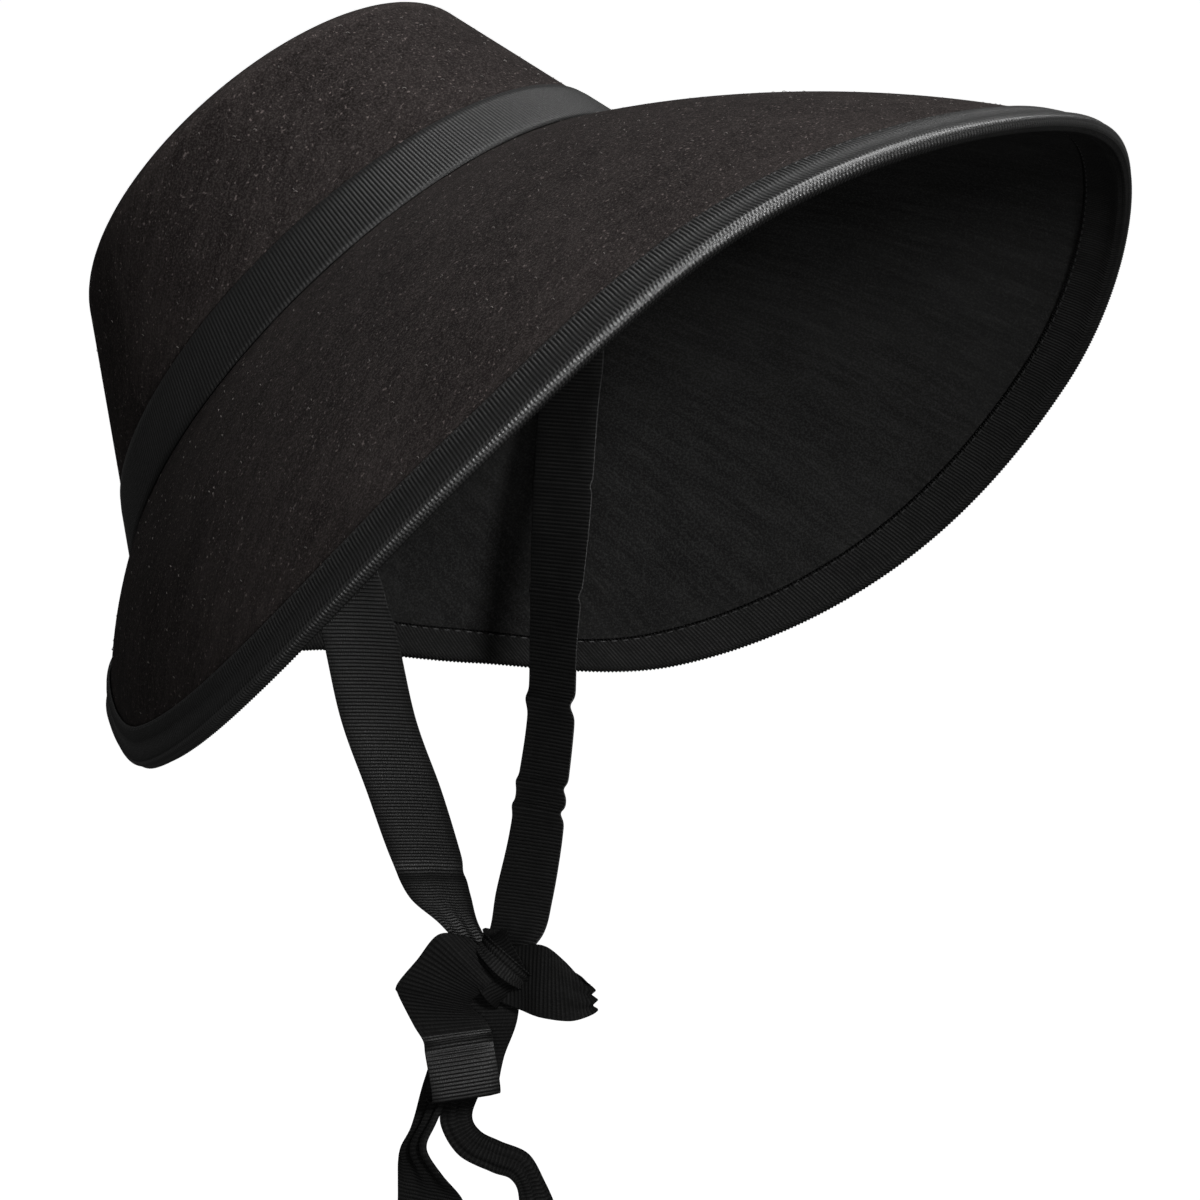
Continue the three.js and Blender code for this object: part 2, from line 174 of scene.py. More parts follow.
# Shares of the patterns in the colour, and tones against it
NAP_SHARE = 0.60
STREAK_SHARE = 0.28
BAND_SHARE = 0.16
PATCH_SHARE = 0.14
EDGE_TONE_SHARE = 0.22
SPECK_TONE = 2.6
YARN_SHARE = 0.45
CLOUD_SHARE = 0.30
UNEVEN_SHARE = 0.30
# The ribs' crests take a lighter colour as a painted highlight, and the ribbon between them a darker one
# as painted shade
CREST_HIGHLIGHT_TONE = 4.0
CREST_START = -0.5
CREST_END = 0.95
THREAD_DARK_TONE = 0.45
PAPER_DARK_TONE = 0.99

# Mesh steps
FELT_COLUMNS = 360
BRIM_ROWS = 46
COLLAR_BEND_ROWS = 8
CROWN_OUTER_ROWS = 30
CROWN_INNER_ROWS = 18
TIP_EDGE_ROWS = 11
TIP_SHARES = (0.005, 0.1, 0.25, 0.4, 0.55, 0.7, 0.82, 0.92)
EDGE_SAMPLES = 2880
STATION_STEPS = 24
ROWS_PER_RIB = 6
EDGE_COLUMNS_PER_RIB = 4
ACROSS_POINTS = 11
SELVAGE = 0.03
BAND_POINTS = 9
BEAD_POINTS = 13
KNOT_STRAP_STEPS = 160
LINT_COLUMNS = 90
LINT_BRIM_ROWS = 12
LINT_CROWN_ROWS = 8

# Outer leg of the binding from its sewn edge to the bead: place past the felt, sink, height of the ribs
BINDING_ROWS = (
    (-11.0, 0.15, 0.0),
    (-10.5, 0.0, 1.0),
    (-9.5, 0.0, 1.2),
    (-6.5, 0.0, 1.2),
    (-5.6, 0.2, 0.4),
    (-3.6, 0.2, 0.4),
    (-2.4, 0.25, 0.5),
)

# Brim sections from the front at 0 degrees to the back at 180: angle, width, mean drop, bow of the drop
BRIM_SECTIONS = (
    (0, 150, 46, 22),
    (30, 144, 46, 27),
    (60, 140, 51, 30),
    (90, 127, 54, 31),
    (115, 98, 54, 29),
    (135, 55, 50, 25),
    (155, 25, 38, 20),
    (180, 17, 28, 14),
)

# Ties from the headline to the knot: x, y, z, width, turn of the face towards the front
RIGHT_TIE = (
    (-72, -11, 25, 22, 0),
    (-73.5, -13, 14, 22, 0),
    (-76, -17, 0, 22, 2),
    (-77, -25, -16, 22, 5),
    (-74, -32, -38, 22, 18),
    (-66, -36, -65, 22, 23),
    (-53, -34, -95, 22, 26),
    (-41, -34, -117, 22, 28),
    (-28, -32, -138, 21, 30),
    (-18, -30, -152, 18, 32),
    (-10, -31, -161, 11, 32),
    (-3, -34, -171, 8, 32),
)
LEFT_TIE = (
    (72, -11, 25, 22, 0),
    (73.4, -13, 14, 22, 0),
    (75.5, -12, 0, 22, 0),
    (75.5, -10, -16, 22, 0),
    (70, -11, -50, 22, 2),
    (59, -16, -85, 22, 14),
    (49, -22, -108, 22, 15),
    (37, -27, -129, 22, 12),
    (28, -31, -142, 21, 6),
    (17, -35, -156, 21, 2),
    (9, -38, -165, 19, 0),
    (3, -37, -172, 14, 0),
)

# Creases across the ties: height, depth, half length along the ribbon
LEFT_TIE_CREASES = (
    (-39.3, 0.7, 1.6),
    (-71.8, 0.9, 1.8),
    (-103.5, 1.6, 2.6),
    (-126.6, 1.2, 2.0),
    (-133.3, 1.4, 2.0),
)
RIGHT_TIE_CREASES = ((-60.0, 0.35, 3.0), (-143.0, 0.8, 3.0))

# Bow ribbons from the knot's centre: across, toward the viewer, up, width, roll, yaw
FRONT_LOOP = (
    (-2, 5, 6, 15, -44, 0),
    (-8.5, 8, 5, 21, -46, 0),
    (-13.2, 7, -0.4, 21, -29, 0),
    (-17.8, 5.5, -6.1, 22.2, -13, 0),
    (-17.3, 5, -7.7, 22.1, -11, 0),
    (-13, 3.5, -14.5, 21.5, 3, 0),
    (-10.6, 4.5, -18.6, 20.5, 8, 0),
    (-9.9, 8.5, -21.5, 20.5, 9, 0),
    (-8, 6, -36.5, 20.5, 9, 0),
    (-9.2, 3.5, -36.5, 21.5, 7, 0),
    (-8, 0.5, -27, 22, 4, 0),
    (-4, 1.5, -15, 22, 2, 0),
    (1, 1, -3, 14, 0, 0),
)
RIGHT_LOOP = (
    (1, 3, -1, 14, 90, 0),
    (8, 5, -1, 19, 90, 0),
    (14.5, 8, -1.6, 21.5, 88, 0),
    (22, 9, -4.2, 18, 96, 0),
    (28, 7, -6.8, 9.5, 100, 0),
    (29, 3, -7, 8, 98, 0),
    (25, 0.5, -6, 11, 90, 0),
    (15, 0.5, -4, 13, 88, 0),
    (2, 0, -1, 9, 88, 0),
)
LEFT_TAIL = (
    (-2, -2, -4, 9, 0, 0),
    (-9, -5, -18, 12, 4, 0),
    (-16, -5, -34, 10, 8, 12),
    (-21, -4, -47, 8.5, 16, 30),
    (-24, -3, -54, 10, 8, 40),
    (-22, -3, -60, 15, -10, 28),
    (-19, -4, -67.5, 20, -10, 12),
    (-18, -5, -79, 22, -4, 6),
    (-18, -6, -92, 22, 0, 6),
)
RIGHT_TAIL = (
    (0, -4, -5, 9, 0, 0),
    (-4, -9, -20, 13, -4, 0),
    (-9.5, -10, -38, 11.5, -4, -14),
    (-11.3, -10, -47, 10.5, 10, -20),
    (-7.5, -9, -53.5, 10, 44, -20),
    (0.5, -8, -57.5, 9.5, 74, -16),
    (7.5, -8, -60.5, 9.5, 50, -20),
    (11.3, -9, -68, 10, 16, -24),
    (13.5, -9, -80, 15, 4, -20),
    (15, -9, -94, 19, 0, -16),
)

# Part of the front loop that shows the ribbon's face, in shares of its length; the rest takes the back
# finish's painted shade
LOOP_FACE_SHARES = (0.372, 0.60)

# Straps round the knot: direction, half length, half depth, half width, shift to the side, finish
KNOT_STRAPS = (
    # The first strap takes the inside finish, lighter as painted light; the second the back finish,
    # darker as painted shade
    (-42.0, 10.5, 11.5, 3.2, 5.0, INSIDE),
    (-66.0, 10.5, 8.0, 7.5, 2.0, SHADED_BACK),
)

# Camera, from the photograph's viewing angle
CAMERA_BACK = Vector((-0.8129, -0.5692, 0.1236))
CAMERA_PLACE = Vector((-1.4464, -1.0872, 0.1571))
CAMERA_LENS = 184.5
CAMERA_SENSOR = 36.0

# Lights: places, sizes and where they aim; the sky's share at its lowest and the height where that is
KEY_PLACE = Vector((-0.80, -1.38, 0.52))
KEY_SIZE = 0.30
TOP_PLACE = Vector((0.25, -0.45, 1.45))
TOP_SIZE = 1.0
FILL_PLACE = Vector((-1.35, -0.95, -0.25))
FILL_SIZE = 0.6
LIGHT_AIM = Vector((0.0, -0.05, -0.02))
SKY_LOW_SHARE = 0.25
SKY_BOTTOM = -0.6
WHITE = (1.0, 1.0, 1.0, 1.0)
FLOOR_GLOW = 0.84
FLOOR_RADII = (0.5, 1.0, 2.0, 4.0, 8.0, 16.0, 32.0, 60.0)
FLOOR_STEPS = 64

# Worked-out sizes and directions
OVAL_ROOT = math.sqrt((3 + HEADLINE_RATIO) * (1 + 3 * HEADLINE_RATIO))
HALF_BREADTH = HEADLINE_GIRTH / (math.pi * (3 * (1 + HEADLINE_RATIO) - OVAL_ROOT))
HALF_LENGTH = HALF_BREADTH * HEADLINE_RATIO
SIDE = np.array((1.0, 0.0, 0.0))
FRONT = np.array((0.0, -math.cos(HEADLINE_TILT), math.sin(HEADLINE_TILT)))
AXIS = np.array((0.0, math.sin(HEADLINE_TILT), math.cos(HEADLINE_TILT)))
BOW_ACROSS = np.array((math.cos(BOW_TURN), math.sin(BOW_TURN), 0.0))
BOW_TOWARD = np.array((math.sin(BOW_TURN), -math.cos(BOW_TURN), 0.0))
UP = np.array((0.0, 0.0, 1.0))


# Settings

class BonnetFelt(bpy.types.PropertyGroup):
    """Finish of the brim and the crown"""

    outside_color: bpy.props.FloatVectorProperty(
        name="Outside", description="Colour of the felt outside", subtype="COLOR",
        size=3, min=0.0, max=1.0, default=(0.0062, 0.0047, 0.0045))
    inside_color: bpy.props.FloatVectorProperty(
        name="Inside", description="Colour of the felt inside", subtype="COLOR",
        size=3, min=0.0, max=1.0, default=(0.0068, 0.0068, 0.0067))
    fibre_color: bpy.props.FloatVectorProperty(
        name="Fibres", description="Colour of the raised fibres", subtype="COLOR",
        size=3, min=0.0, max=1.0, default=(0.038, 0.0318, 0.0302))
    lining_fibre_color: bpy.props.FloatVectorProperty(
        name="Inside fibres", description="Colour of the raised fibres inside", subtype="COLOR",
        size=3, min=0.0, max=1.0, default=(0.026, 0.026, 0.0255))
    lint_count: bpy.props.IntProperty(
        name="Lint", description="Specks of lint on the felt", min=0, default=2600)
    lint_seed: bpy.props.IntProperty(
        name="Lint seed", description="Seed of the lint's places", default=11)


class BonnetRibbon(bpy.types.PropertyGroup):
    """Sizes and finish of the grosgrain ribbons"""

    width: bpy.props.FloatProperty(
        name="Width", description="Flat width of the ties", unit="LENGTH", default=0.022)
    thickness: bpy.props.FloatProperty(
        name="Thickness", description="Thickness of the ribbon between its ribs", unit="LENGTH",
        default=0.0004)
    rib_pitch: bpy.props.FloatProperty(
        name="Rib pitch", description="Distance from rib to rib", unit="LENGTH", default=0.0012)
    rib_height: bpy.props.FloatProperty(
        name="Rib height", description="How far a rib stands up", unit="LENGTH", default=0.00036)
    stitch_pitch: bpy.props.FloatProperty(
        name="Stitch pitch", description="Distance from stitch to stitch", unit="LENGTH",
        default=0.0036)
    color: bpy.props.FloatVectorProperty(
        name="Ribbon", description="Colour of the ribbon", subtype="COLOR",
        size=3, min=0.0, max=1.0, default=(0.0042, 0.0042, 0.0041))
    thread_color: bpy.props.FloatVectorProperty(
        name="Thread", description="Colour of the sewing thread", subtype="COLOR",
        size=3, min=0.0, max=1.0, default=(0.030, 0.030, 0.030))


class BonnetStage(bpy.types.PropertyGroup):
    """Floor and light"""

    floor_drop: bpy.props.FloatProperty(
        name="Floor drop", description="Depth of the floor below the headline", unit="LENGTH",
        default=1.0)
    floor_color: bpy.props.FloatVectorProperty(
        name="Floor", description="Colour of the floor", subtype="COLOR",
        size=3, min=0.0, max=1.0, default=(0.93, 0.93, 0.93))
    sky_strength: bpy.props.FloatProperty(
        name="Sky", description="Strength of the even light", min=0.0, default=0.22)
    key_power: bpy.props.FloatProperty(
        name="Key", description="Power of the light from the front", unit="POWER", min=0.0, default=24.0)
    top_power: bpy.props.FloatProperty(
        name="Top", description="Power of the light overhead", unit="POWER", min=0.0, default=28.0)
    fill_power: bpy.props.FloatProperty(
        name="Fill", description="Power of the low light by the camera", unit="POWER", min=0.0,
        default=6.0)


# Shapes of the felt

def ring_angles(count):
    """Angles of a ring's points in degrees, starting at the back."""
    return np.mod(np.linspace(180.0, 540.0, count, endpoint=False), 360.0)


def brim_values(angles):
    """Width, mean drop and bow of the brim at angles in degrees, alike on both halves."""
    half = np.array(BRIM_SECTIONS, float)
    flipped = half * (-1, 1, 1, 1)
    rows = np.vstack((flipped[:0:-1], half, flipped[-2::-1] + (360, 0, 0, 0)))
    places = rows[:, 0]
    values = rows[:, 1:]
    slopes = (values[2:] - values[:-2]) / (places[2:] - places[:-2])[:, None]
    angles = np.minimum(angles, 360.0 - angles)
    index = np.clip(np.searchsorted(places, angles, side="right") - 1, 1, len(places) - 3)
    step = (places[index + 1] - places[index])[:, None]
    share = (angles - places[index])[:, None] / step
    start = values[index]
    rise = values[index + 1] - start
    leave = slopes[index - 1] * step
    arrive = slopes[index] * step
    smooth = share * share * (3 - 2 * share)
    bend = share * (1 - share) * ((1 - share) * leave - share * arrive)
    return (start + smooth * rise + bend).T


def brim_arc(angles):
    """Width, start of the drop and radius of the brim's arc."""
    width, drop, bow = brim_values(angles)
    bow_angle = np.radians(bow)
    return width, np.radians(drop) - bow_angle / 2, width / bow_angle


def felt_reach(angles):
    """Reach of the felt under the binding."""
    return brim_values(angles)[0] - BEAD_REACH


def crown_points(angles, height, inset):
    """An oval ring of the crown or its collar, inset from the outer face of the band."""
    turn = np.radians(angles)
    height = np.broadcast_to(height, turn.shape)
    share = height / CROWN_HEIGHT
    breadth = HALF_BREADTH + (TIP_HALF_BREADTH - HALF_BREADTH) * share - inset
    length = HALF_LENGTH + (TIP_HALF_LENGTH - HALF_LENGTH) * share - inset
    ahead = length * np.cos(turn) + TIP_FORWARD * share
    return np.outer(breadth * np.sin(turn), SIDE) + np.outer(ahead, FRONT) + np.outer(height, AXIS)


def brim_points(angles, reach, offset):
    """A ring at a reach along the brim and an offset off its outer face, straight past the felt."""
    turn = np.radians(angles)
    width, drop_start, radius = brim_arc(angles)
    reach = np.broadcast_to(reach, turn.shape)
    on_arc = np.minimum(reach, width - BEAD_REACH)
    past = reach - on_arc
    drop = drop_start + on_arc / radius
    out = radius * (np.sin(drop) - np.sin(drop_start)) + past * np.cos(drop) + offset * np.sin(drop)
    down = radius * (np.cos(drop_start) - np.cos(drop)) + past * np.sin(drop) - offset * np.cos(drop)
    outward = np.outer(HALF_LENGTH * np.sin(turn), SIDE) + np.outer(HALF_BREADTH * np.cos(turn), FRONT)
    outward /= np.linalg.norm(outward, axis=1)[:, None]
    return crown_points(angles, 0.0, 0.0) + out[:, None] * outward - down[:, None] * AXIS


def brim_height(angles, inset):
    """Height at which a ring with this inset meets the brim's outer face."""
    return inset * np.tan(brim_arc(angles)[1])


def seat_height(angles, inset):
    """Height of a foot that rests on the brim."""
    return np.maximum(brim_height(angles, inset), 0.0) + SEAT_GAP


# Meshes

class Cloth:
    """Points, faces and surface coordinates of one piece, gathered part by part."""

    def __init__(self):
        self.points = []
        self.faces = []
        self.uvs = []
        self.marks = {"run": [], "rib": [], "edge_tone": []}
        self.materials = []
        self.count = 0

    def add_grid(self, points, uvs, wrap_rows, wrap_columns, material=0, run=None, rib=None, edge_tone=None):
        """A grid of quads that faces out; uvs has one more row or column where the grid wraps.

        Returns its first point, and whether the quads had to be turned over to face out.
        """
        rows, columns = points.shape[:2]
        row = np.arange(rows if wrap_rows else rows - 1)
        column = np.arange(columns if wrap_columns else columns - 1)
        r, c = np.meshgrid(row, column, indexing="ij")
        below = (r + 1) % rows
        beside = (c + 1) % columns
        corners = (r * columns + c, r * columns + beside, below * columns + beside, below * columns + c)
        quads = np.stack(corners, -1).reshape(-1, 4)
        maps = np.stack((uvs[r, c], uvs[r, c + 1], uvs[r + 1, c + 1], uvs[r + 1, c]), 2)
        maps = maps.reshape(-1, 4, 2)
        flat = points.reshape(-1, 3)
        p, q, s, t = (flat[quads[:, corner]] for corner in range(4))
        volume = np.einsum("ij,ij->i", p, np.cross(q, s)).sum()
        volume += np.einsum("ij,ij->i", p, np.cross(s, t)).sum()
        turned = volume < 0
        if turned:
            quads = quads[:, ::-1]
            maps = maps[:, ::-1]
        face_material = np.broadcast_to(material, r.shape)
        self.points.append(flat)
        self.faces.extend((quads + self.count).tolist())
        self.uvs.append(maps.reshape(-1, 2))
        self.materials.append(face_material.reshape(-1))
        for name, values in (("run", run), ("rib", rib), ("edge_tone", edge_tone)):
            filled = np.broadcast_to(0.0 if values is None else values, (rows, columns))
            self.marks[name].append(filled.reshape(-1))
        first = self.count
        self.count += rows * columns
        return first, turned

    def add_face(self, corners):
        """One more face over points that are there already."""
        self.faces.append([int(corner) for corner in corners])
        self.uvs.append(np.zeros((len(corners), 2)))
        self.materials.append(np.zeros(1, int))

    def make(self, name, materials):
        """The finished mesh as an object at the origin, in metres."""
        mesh = bpy.data.meshes.new(name)
        mesh.from_pydata((np.concatenate(self.points) * MM).tolist(), [], self.faces)
        layer = mesh.uv_layers.new(name="UVMap")
        layer.data.foreach_set("uv", (np.concatenate(self.uvs) * MM).astype(np.float32).ravel())
        mesh.polygons.foreach_set("material_index", np.concatenate(self.materials).astype(np.int32))
        mesh.polygons.foreach_set("use_smooth", np.ones(len(mesh.polygons), bool))
        for mark, parts in self.marks.items():
            attribute = mesh.attributes.new(mark, "FLOAT", "POINT")
            attribute.data.foreach_set("value", np.concatenate(parts).astype(np.float32))
        for material in materials:
            mesh.materials.append(material)
        mesh.update()
        piece = bpy.data.objects.new(name, mesh)
        bpy.context.scene.collection.objects.link(piece)
        return piece


def ring_distances(points, closed):
    """Mean distance from ring to ring, added up from the first; a closed wall comes back to it."""
    past_last = points[:1] if closed else points[:0]
    steps = np.linalg.norm(np.diff(points, axis=0, append=past_last), axis=2).mean(axis=1)
    return np.concatenate(((0.0,), np.cumsum(steps)))


def felt_rings(cloth, rings, outside_rows, edge_tone, girth, closed):
    """Felt rings skinned into a wall, with a surface map of girth and distance."""
    points = np.stack(rings)
    across = np.linspace(0.0, girth, FELT_COLUMNS + 1)
    uvs = np.stack(np.meshgrid(across, ring_distances(points, closed)), -1)
    material = np.where(np.arange(len(rings)) < outside_rows, 0, 1)
    steps = len(rings) if closed else len(rings) - 1
    return cloth.add_grid(points, uvs, closed, True, material[:steps, None], edge_tone=edge_tone[:, None])


def settle(piece, node):
    """The piece rides on the part's one body, and stands for its solid."""
    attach(piece, BODY)
    if node:
        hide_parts(node)
    return piece


# Node trees

def new_node(tree, kind, place, **values):
    """A node at a place in its tree, with its own settings."""
    node = tree.nodes.new(kind)
    node.location = place
    for key, value in values.items():
        setattr(node, key, value)
    return node


def math_node(tree, operation, place, first, second=None):
    """A Math node whose inputs are sockets or numbers."""
    node = new_node(tree, "ShaderNodeMath", place, operation=operation)
    for index, value in enumerate((first, second)):
        if value is None:
            continue
        if isinstance(value, bpy.types.NodeSocket):
            tree.links.new(value, node.inputs[index])
        else:
            node.inputs[index].default_value = value
    return node.outputs[0]


def geometry_tree(name, inputs):
    """A Geometry Nodes tree with named inputs after its geometry."""
    tree = bpy.data.node_groups.new(name, "GeometryNodeTree")
    tree.interface.new_socket("Geometry", in_out="INPUT", socket_type="NodeSocketGeometry")
    for label, kind in inputs:
        tree.interface.new_socket(label, in_out="INPUT", socket_type=kind)
    tree.interface.new_socket("Geometry", in_out="OUTPUT", socket_type="NodeSocketGeometry")
    source = new_node(tree, "NodeGroupInput", (-900, 0))
    target = new_node(tree, "NodeGroupOutput", (900, 0))
    return tree, source, target


def finish_tree(tree, source, target, geometry):
    """The closing nodes: realised instances with the material that the tree was given."""
    realize = new_node(tree, "GeometryNodeRealizeInstances", (500, 0))
    paint = new_node(tree, "GeometryNodeSetMaterial", (700, 0))
    tree.links.new(geometry, realize.inputs["Geometry"])
    tree.links.new(realize.outputs["Geometry"], paint.inputs["Geometry"])
    tree.links.new(source.outputs["Material"], paint.inputs["Material"])
    tree.links.new(paint.outputs["Geometry"], target.inputs["Geometry"])


def run_tree(piece, tree, values):
    """The tree's result on a piece, as a plain mesh."""
    modifier = piece.modifiers.new(tree.name, "NODES")
    modifier.node_group = tree
    for item in tree.interface.items_tree:
        if item.in_out == "INPUT" and item.name in values:
            modifier[item.identifier] = values[item.name]
    bpy.context.view_layer.update()
    graph = bpy.context.evaluated_depsgraph_get()
    shape = piece.evaluated_get(graph)
    mesh = bpy.data.meshes.new_from_object(shape, preserve_all_data_layers=True, depsgraph=graph)
    mesh.name = piece.name
    before = piece.data
    piece.modifiers.remove(modifier)
    piece.data = mesh
    bpy.data.meshes.remove(before)
    return piece


def rib_tree():
    """Grosgrain ribs: the surface stands up along its normal in even waves along the run."""
    name = "grosgrain_ribs"
    if name in bpy.data.node_groups:
        return bpy.data.node_groups[name]
    inputs = (("Rib Pitch", "NodeSocketFloat"), ("Rib Height", "NodeSocketFloat"))
    tree, source, target = geometry_tree(name, inputs)
    run = new_node(tree, "GeometryNodeInputNamedAttribute", (-900, -200), data_type="FLOAT")
    run.inputs["Name"].default_value = "run"
    share = new_node(tree, "GeometryNodeInputNamedAttribute", (-900, -400), data_type="FLOAT")
    share.inputs["Name"].default_value = "rib"
    normal = new_node(tree, "GeometryNodeInputNormal", (-300, -400))
    turns = math_node(tree, "DIVIDE", (-700, -200), run.outputs["Attribute"], source.outputs["Rib Pitch"])
    angle = math_node(tree, "MULTIPLY", (-550, -200), turns, 2 * math.pi)
    wave = math_node(tree, "COSINE", (-400, -200), angle)
    lifted = math_node(tree, "MULTIPLY_ADD", (-250, -200), wave, 0.5)
    lifted.node.inputs[2].default_value = 0.5
    rounded = math_node(tree, "POWER", (-100, -200), lifted, 0.7)
    height = math_node(tree, "MULTIPLY", (0, -200), rounded, source.outputs["Rib Height"])
    shared = math_node(tree, "MULTIPLY", (100, -300), height, share.outputs["Attribute"])
    scale = new_node(tree, "ShaderNodeVectorMath", (200, -300), operation="SCALE")
    tree.links.new(normal.outputs["Normal"], scale.inputs["Vector"])
    tree.links.new(shared, scale.inputs["Scale"])
    move = new_node(tree, "GeometryNodeSetPosition", (300, 0))
    tree.links.new(source.outputs["Geometry"], move.inputs["Geometry"])
    tree.links.new(scale.outputs["Vector"], move.inputs["Offset"])
    tree.links.new(move.outputs["Geometry"], target.inputs["Geometry"])
    return tree


def stitch_tree():
    """Sewing stitches: a short rounded thread on each point, along its seam."""
    name = "running_stitches"
    inputs = (("Stitch Length", "NodeSocketFloat"), ("Thread Radius", "NodeSocketFloat"),
              ("Material", "NodeSocketMaterial"))
    tree, source, target = geometry_tree(name, inputs)
    thread = new_node(tree, "GeometryNodeMeshUVSphere", (-500, -200))
    thread.inputs["Segments"].default_value = 6
    thread.inputs["Rings"].default_value = 4
    thread.inputs["Radius"].default_value = 1.0
    half = math_node(tree, "MULTIPLY", (-700, -300), source.outputs["Stitch Length"], 0.5)
    size = new_node(tree, "ShaderNodeCombineXYZ", (-500, -400))
    tree.links.new(half, size.inputs["X"])
    tree.links.new(source.outputs["Thread Radius"], size.inputs["Y"])
    tree.links.new(source.outputs["Thread Radius"], size.inputs["Z"])
    turn = new_node(tree, "FunctionNodeAxesToRotation", (-100, -300))
    turn.primary_axis = "X"
    turn.secondary_axis = "Z"
    for label, place, socket in (("seam", -500, "Primary Axis"), ("face", -700, "Secondary Axis")):
        axis = new_node(tree, "GeometryNodeInputNamedAttribute", (-300, place), data_type="FLOAT_VECTOR")
        axis.inputs["Name"].default_value = label
        tree.links.new(axis.outputs["Attribute"], turn.inputs[socket])
    place = new_node(tree, "GeometryNodeInstanceOnPoints", (200, 0))
    tree.links.new(source.outputs["Geometry"], place.inputs["Points"])
    tree.links.new(thread.outputs["Mesh"], place.inputs["Instance"])
    tree.links.new(turn.outputs["Rotation"], place.inputs["Rotation"])
    tree.links.new(size.outputs["Vector"], place.inputs["Scale"])
    finish_tree(tree, source, target, place.outputs["Instances"])
    return tree


def lint_tree():
    """Lint: small bent fibres strewn over the felt, most of them short."""
    name = "felt_lint"
    inputs = (("Density", "NodeSocketFloat"), ("Seed", "NodeSocketInt"),
              ("Fibre Length", "NodeSocketFloat"), ("Fibre Radius", "NodeSocketFloat"),
              ("Material", "NodeSocketMaterial"))
    tree, source, target = geometry_tree(name, inputs)
    strew = new_node(tree, "GeometryNodeDistributePointsOnFaces", (-600, 100))
    tree.links.new(source.outputs["Geometry"], strew.inputs["Mesh"])
    tree.links.new(source.outputs["Density"], strew.inputs["Density"])
    tree.links.new(source.outputs["Seed"], strew.inputs["Seed"])
    fibre = new_node(tree, "GeometryNodeCurveQuadraticBezier", (-600, -200))
    fibre.inputs["Resolution"].default_value = 3
    fibre.inputs["Start"].default_value = (-0.5, 0.0, 0.02)
    fibre.inputs["Middle"].default_value = (0.0, 0.35, 0.4)
    fibre.inputs["End"].default_value = (0.5, 0.0, 0.05)
    grow = new_node(tree, "GeometryNodeTransform", (-400, -200))
    length = new_node(tree, "ShaderNodeCombineXYZ", (-600, -500))
    for axis in "XYZ":
        tree.links.new(source.outputs["Fibre Length"], length.inputs[axis])
    tree.links.new(fibre.outputs["Curve"], grow.inputs["Geometry"])
    tree.links.new(length.outputs["Vector"], grow.inputs["Scale"])
    profile = new_node(tree, "GeometryNodeCurvePrimitiveCircle", (-400, -500))
    profile.inputs["Resolution"].default_value = 4
    tree.links.new(source.outputs["Fibre Radius"], profile.inputs["Radius"])
    skin = new_node(tree, "GeometryNodeCurveToMesh", (-200, -200))
    skin.inputs["Fill Caps"].default_value = True
    tree.links.new(grow.outputs["Geometry"], skin.inputs["Curve"])
    tree.links.new(profile.outputs["Curve"], skin.inputs["Profile Curve"])
    spin = new_node(tree, "FunctionNodeRandomValue", (-600, -700), data_type="FLOAT")
    spin.inputs[3].default_value = 2 * math.pi
    tree.links.new(source.outputs["Seed"], spin.inputs["Seed"])
    swing = new_node(tree, "FunctionNodeAxisAngleToRotation", (-400, -700))
    swing.inputs["Axis"].default_value = (0.0, 0.0, 1.0)
    tree.links.new(spin.outputs[1], swing.inputs["Angle"])
    turn = new_node(tree, "FunctionNodeRotateRotation", (-200, -600), rotation_space="LOCAL")
    tree.links.new(strew.outputs["Rotation"], turn.inputs["Rotation"])
    tree.links.new(swing.outputs["Rotation"], turn.inputs["Rotate By"])
    share = new_node(tree, "FunctionNodeRandomValue", (-600, -900), data_type="FLOAT")
    tree.links.new(source.outputs["Seed"], share.inputs["Seed"])
    cubed = math_node(tree, "POWER", (-400, -900), share.outputs[1], 4.0)
    size = math_node(tree, "MULTIPLY_ADD", (-200, -900), cubed, 1.8)
    size.node.inputs[2].default_value = 0.35
    place = new_node(tree, "GeometryNodeInstanceOnPoints", (200, 0))
    tree.links.new(strew.outputs["Points"], place.inputs["Points"])
    tree.links.new(skin.outputs["Mesh"], place.inputs["Instance"])
    tree.links.new(turn.outputs["Rotation"], place.inputs["Rotation"])
    tree.links.new(size, place.inputs["Scale"])
    finish_tree(tree, source, target, place.outputs["Instances"])
    return tree


# Materials

def new_material(name):
    """A material with its shader, its output and the node tree."""
    material = bpy.data.materials.new(name)
    material.use_nodes = True
    tree = material.node_tree
    tree.nodes.clear()
    shader = new_node(tree, "ShaderNodeBsdfPrincipled", (300, 0))
    output = new_node(tree, "ShaderNodeOutputMaterial", (600, 0))
    tree.links.new(shader.outputs["BSDF"], output.inputs["Surface"])
    return material, tree, shader


def surface_noise(tree, place, vector, waves, detail, roughness, turn):
    """Noise on turned and stretched coordinates, with its waves per metre along each axis."""
    stretch = new_node(tree, "ShaderNodeMapping", place, vector_type="TEXTURE")
    stretch.inputs["Rotation"].default_value = turn
    stretch.inputs["Scale"].default_value = [1.0 / count for count in waves]
    noise = new_node(tree, "ShaderNodeTexNoise", (place[0] + 200, place[1]))
    noise.inputs["Scale"].default_value = 1.0
    noise.inputs["Detail"].default_value = detail
    noise.inputs["Roughness"].default_value = roughness
    tree.links.new(vector, stretch.inputs["Vector"])
    tree.links.new(stretch.outputs["Vector"], noise.inputs["Vector"])
    return noise.outputs["Fac"]


def ramp(tree, place, value, low, high):
    """A value spread from 0 at low to 1 at high, smoothly."""
    spread = new_node(tree, "ShaderNodeMapRange", place, interpolation_type="SMOOTHSTEP")
    spread.inputs["From Min"].default_value = low
    spread.inputs["From Max"].default_value = high
    tree.links.new(value, spread.inputs["Value"])
    return spread.outputs["Result"]


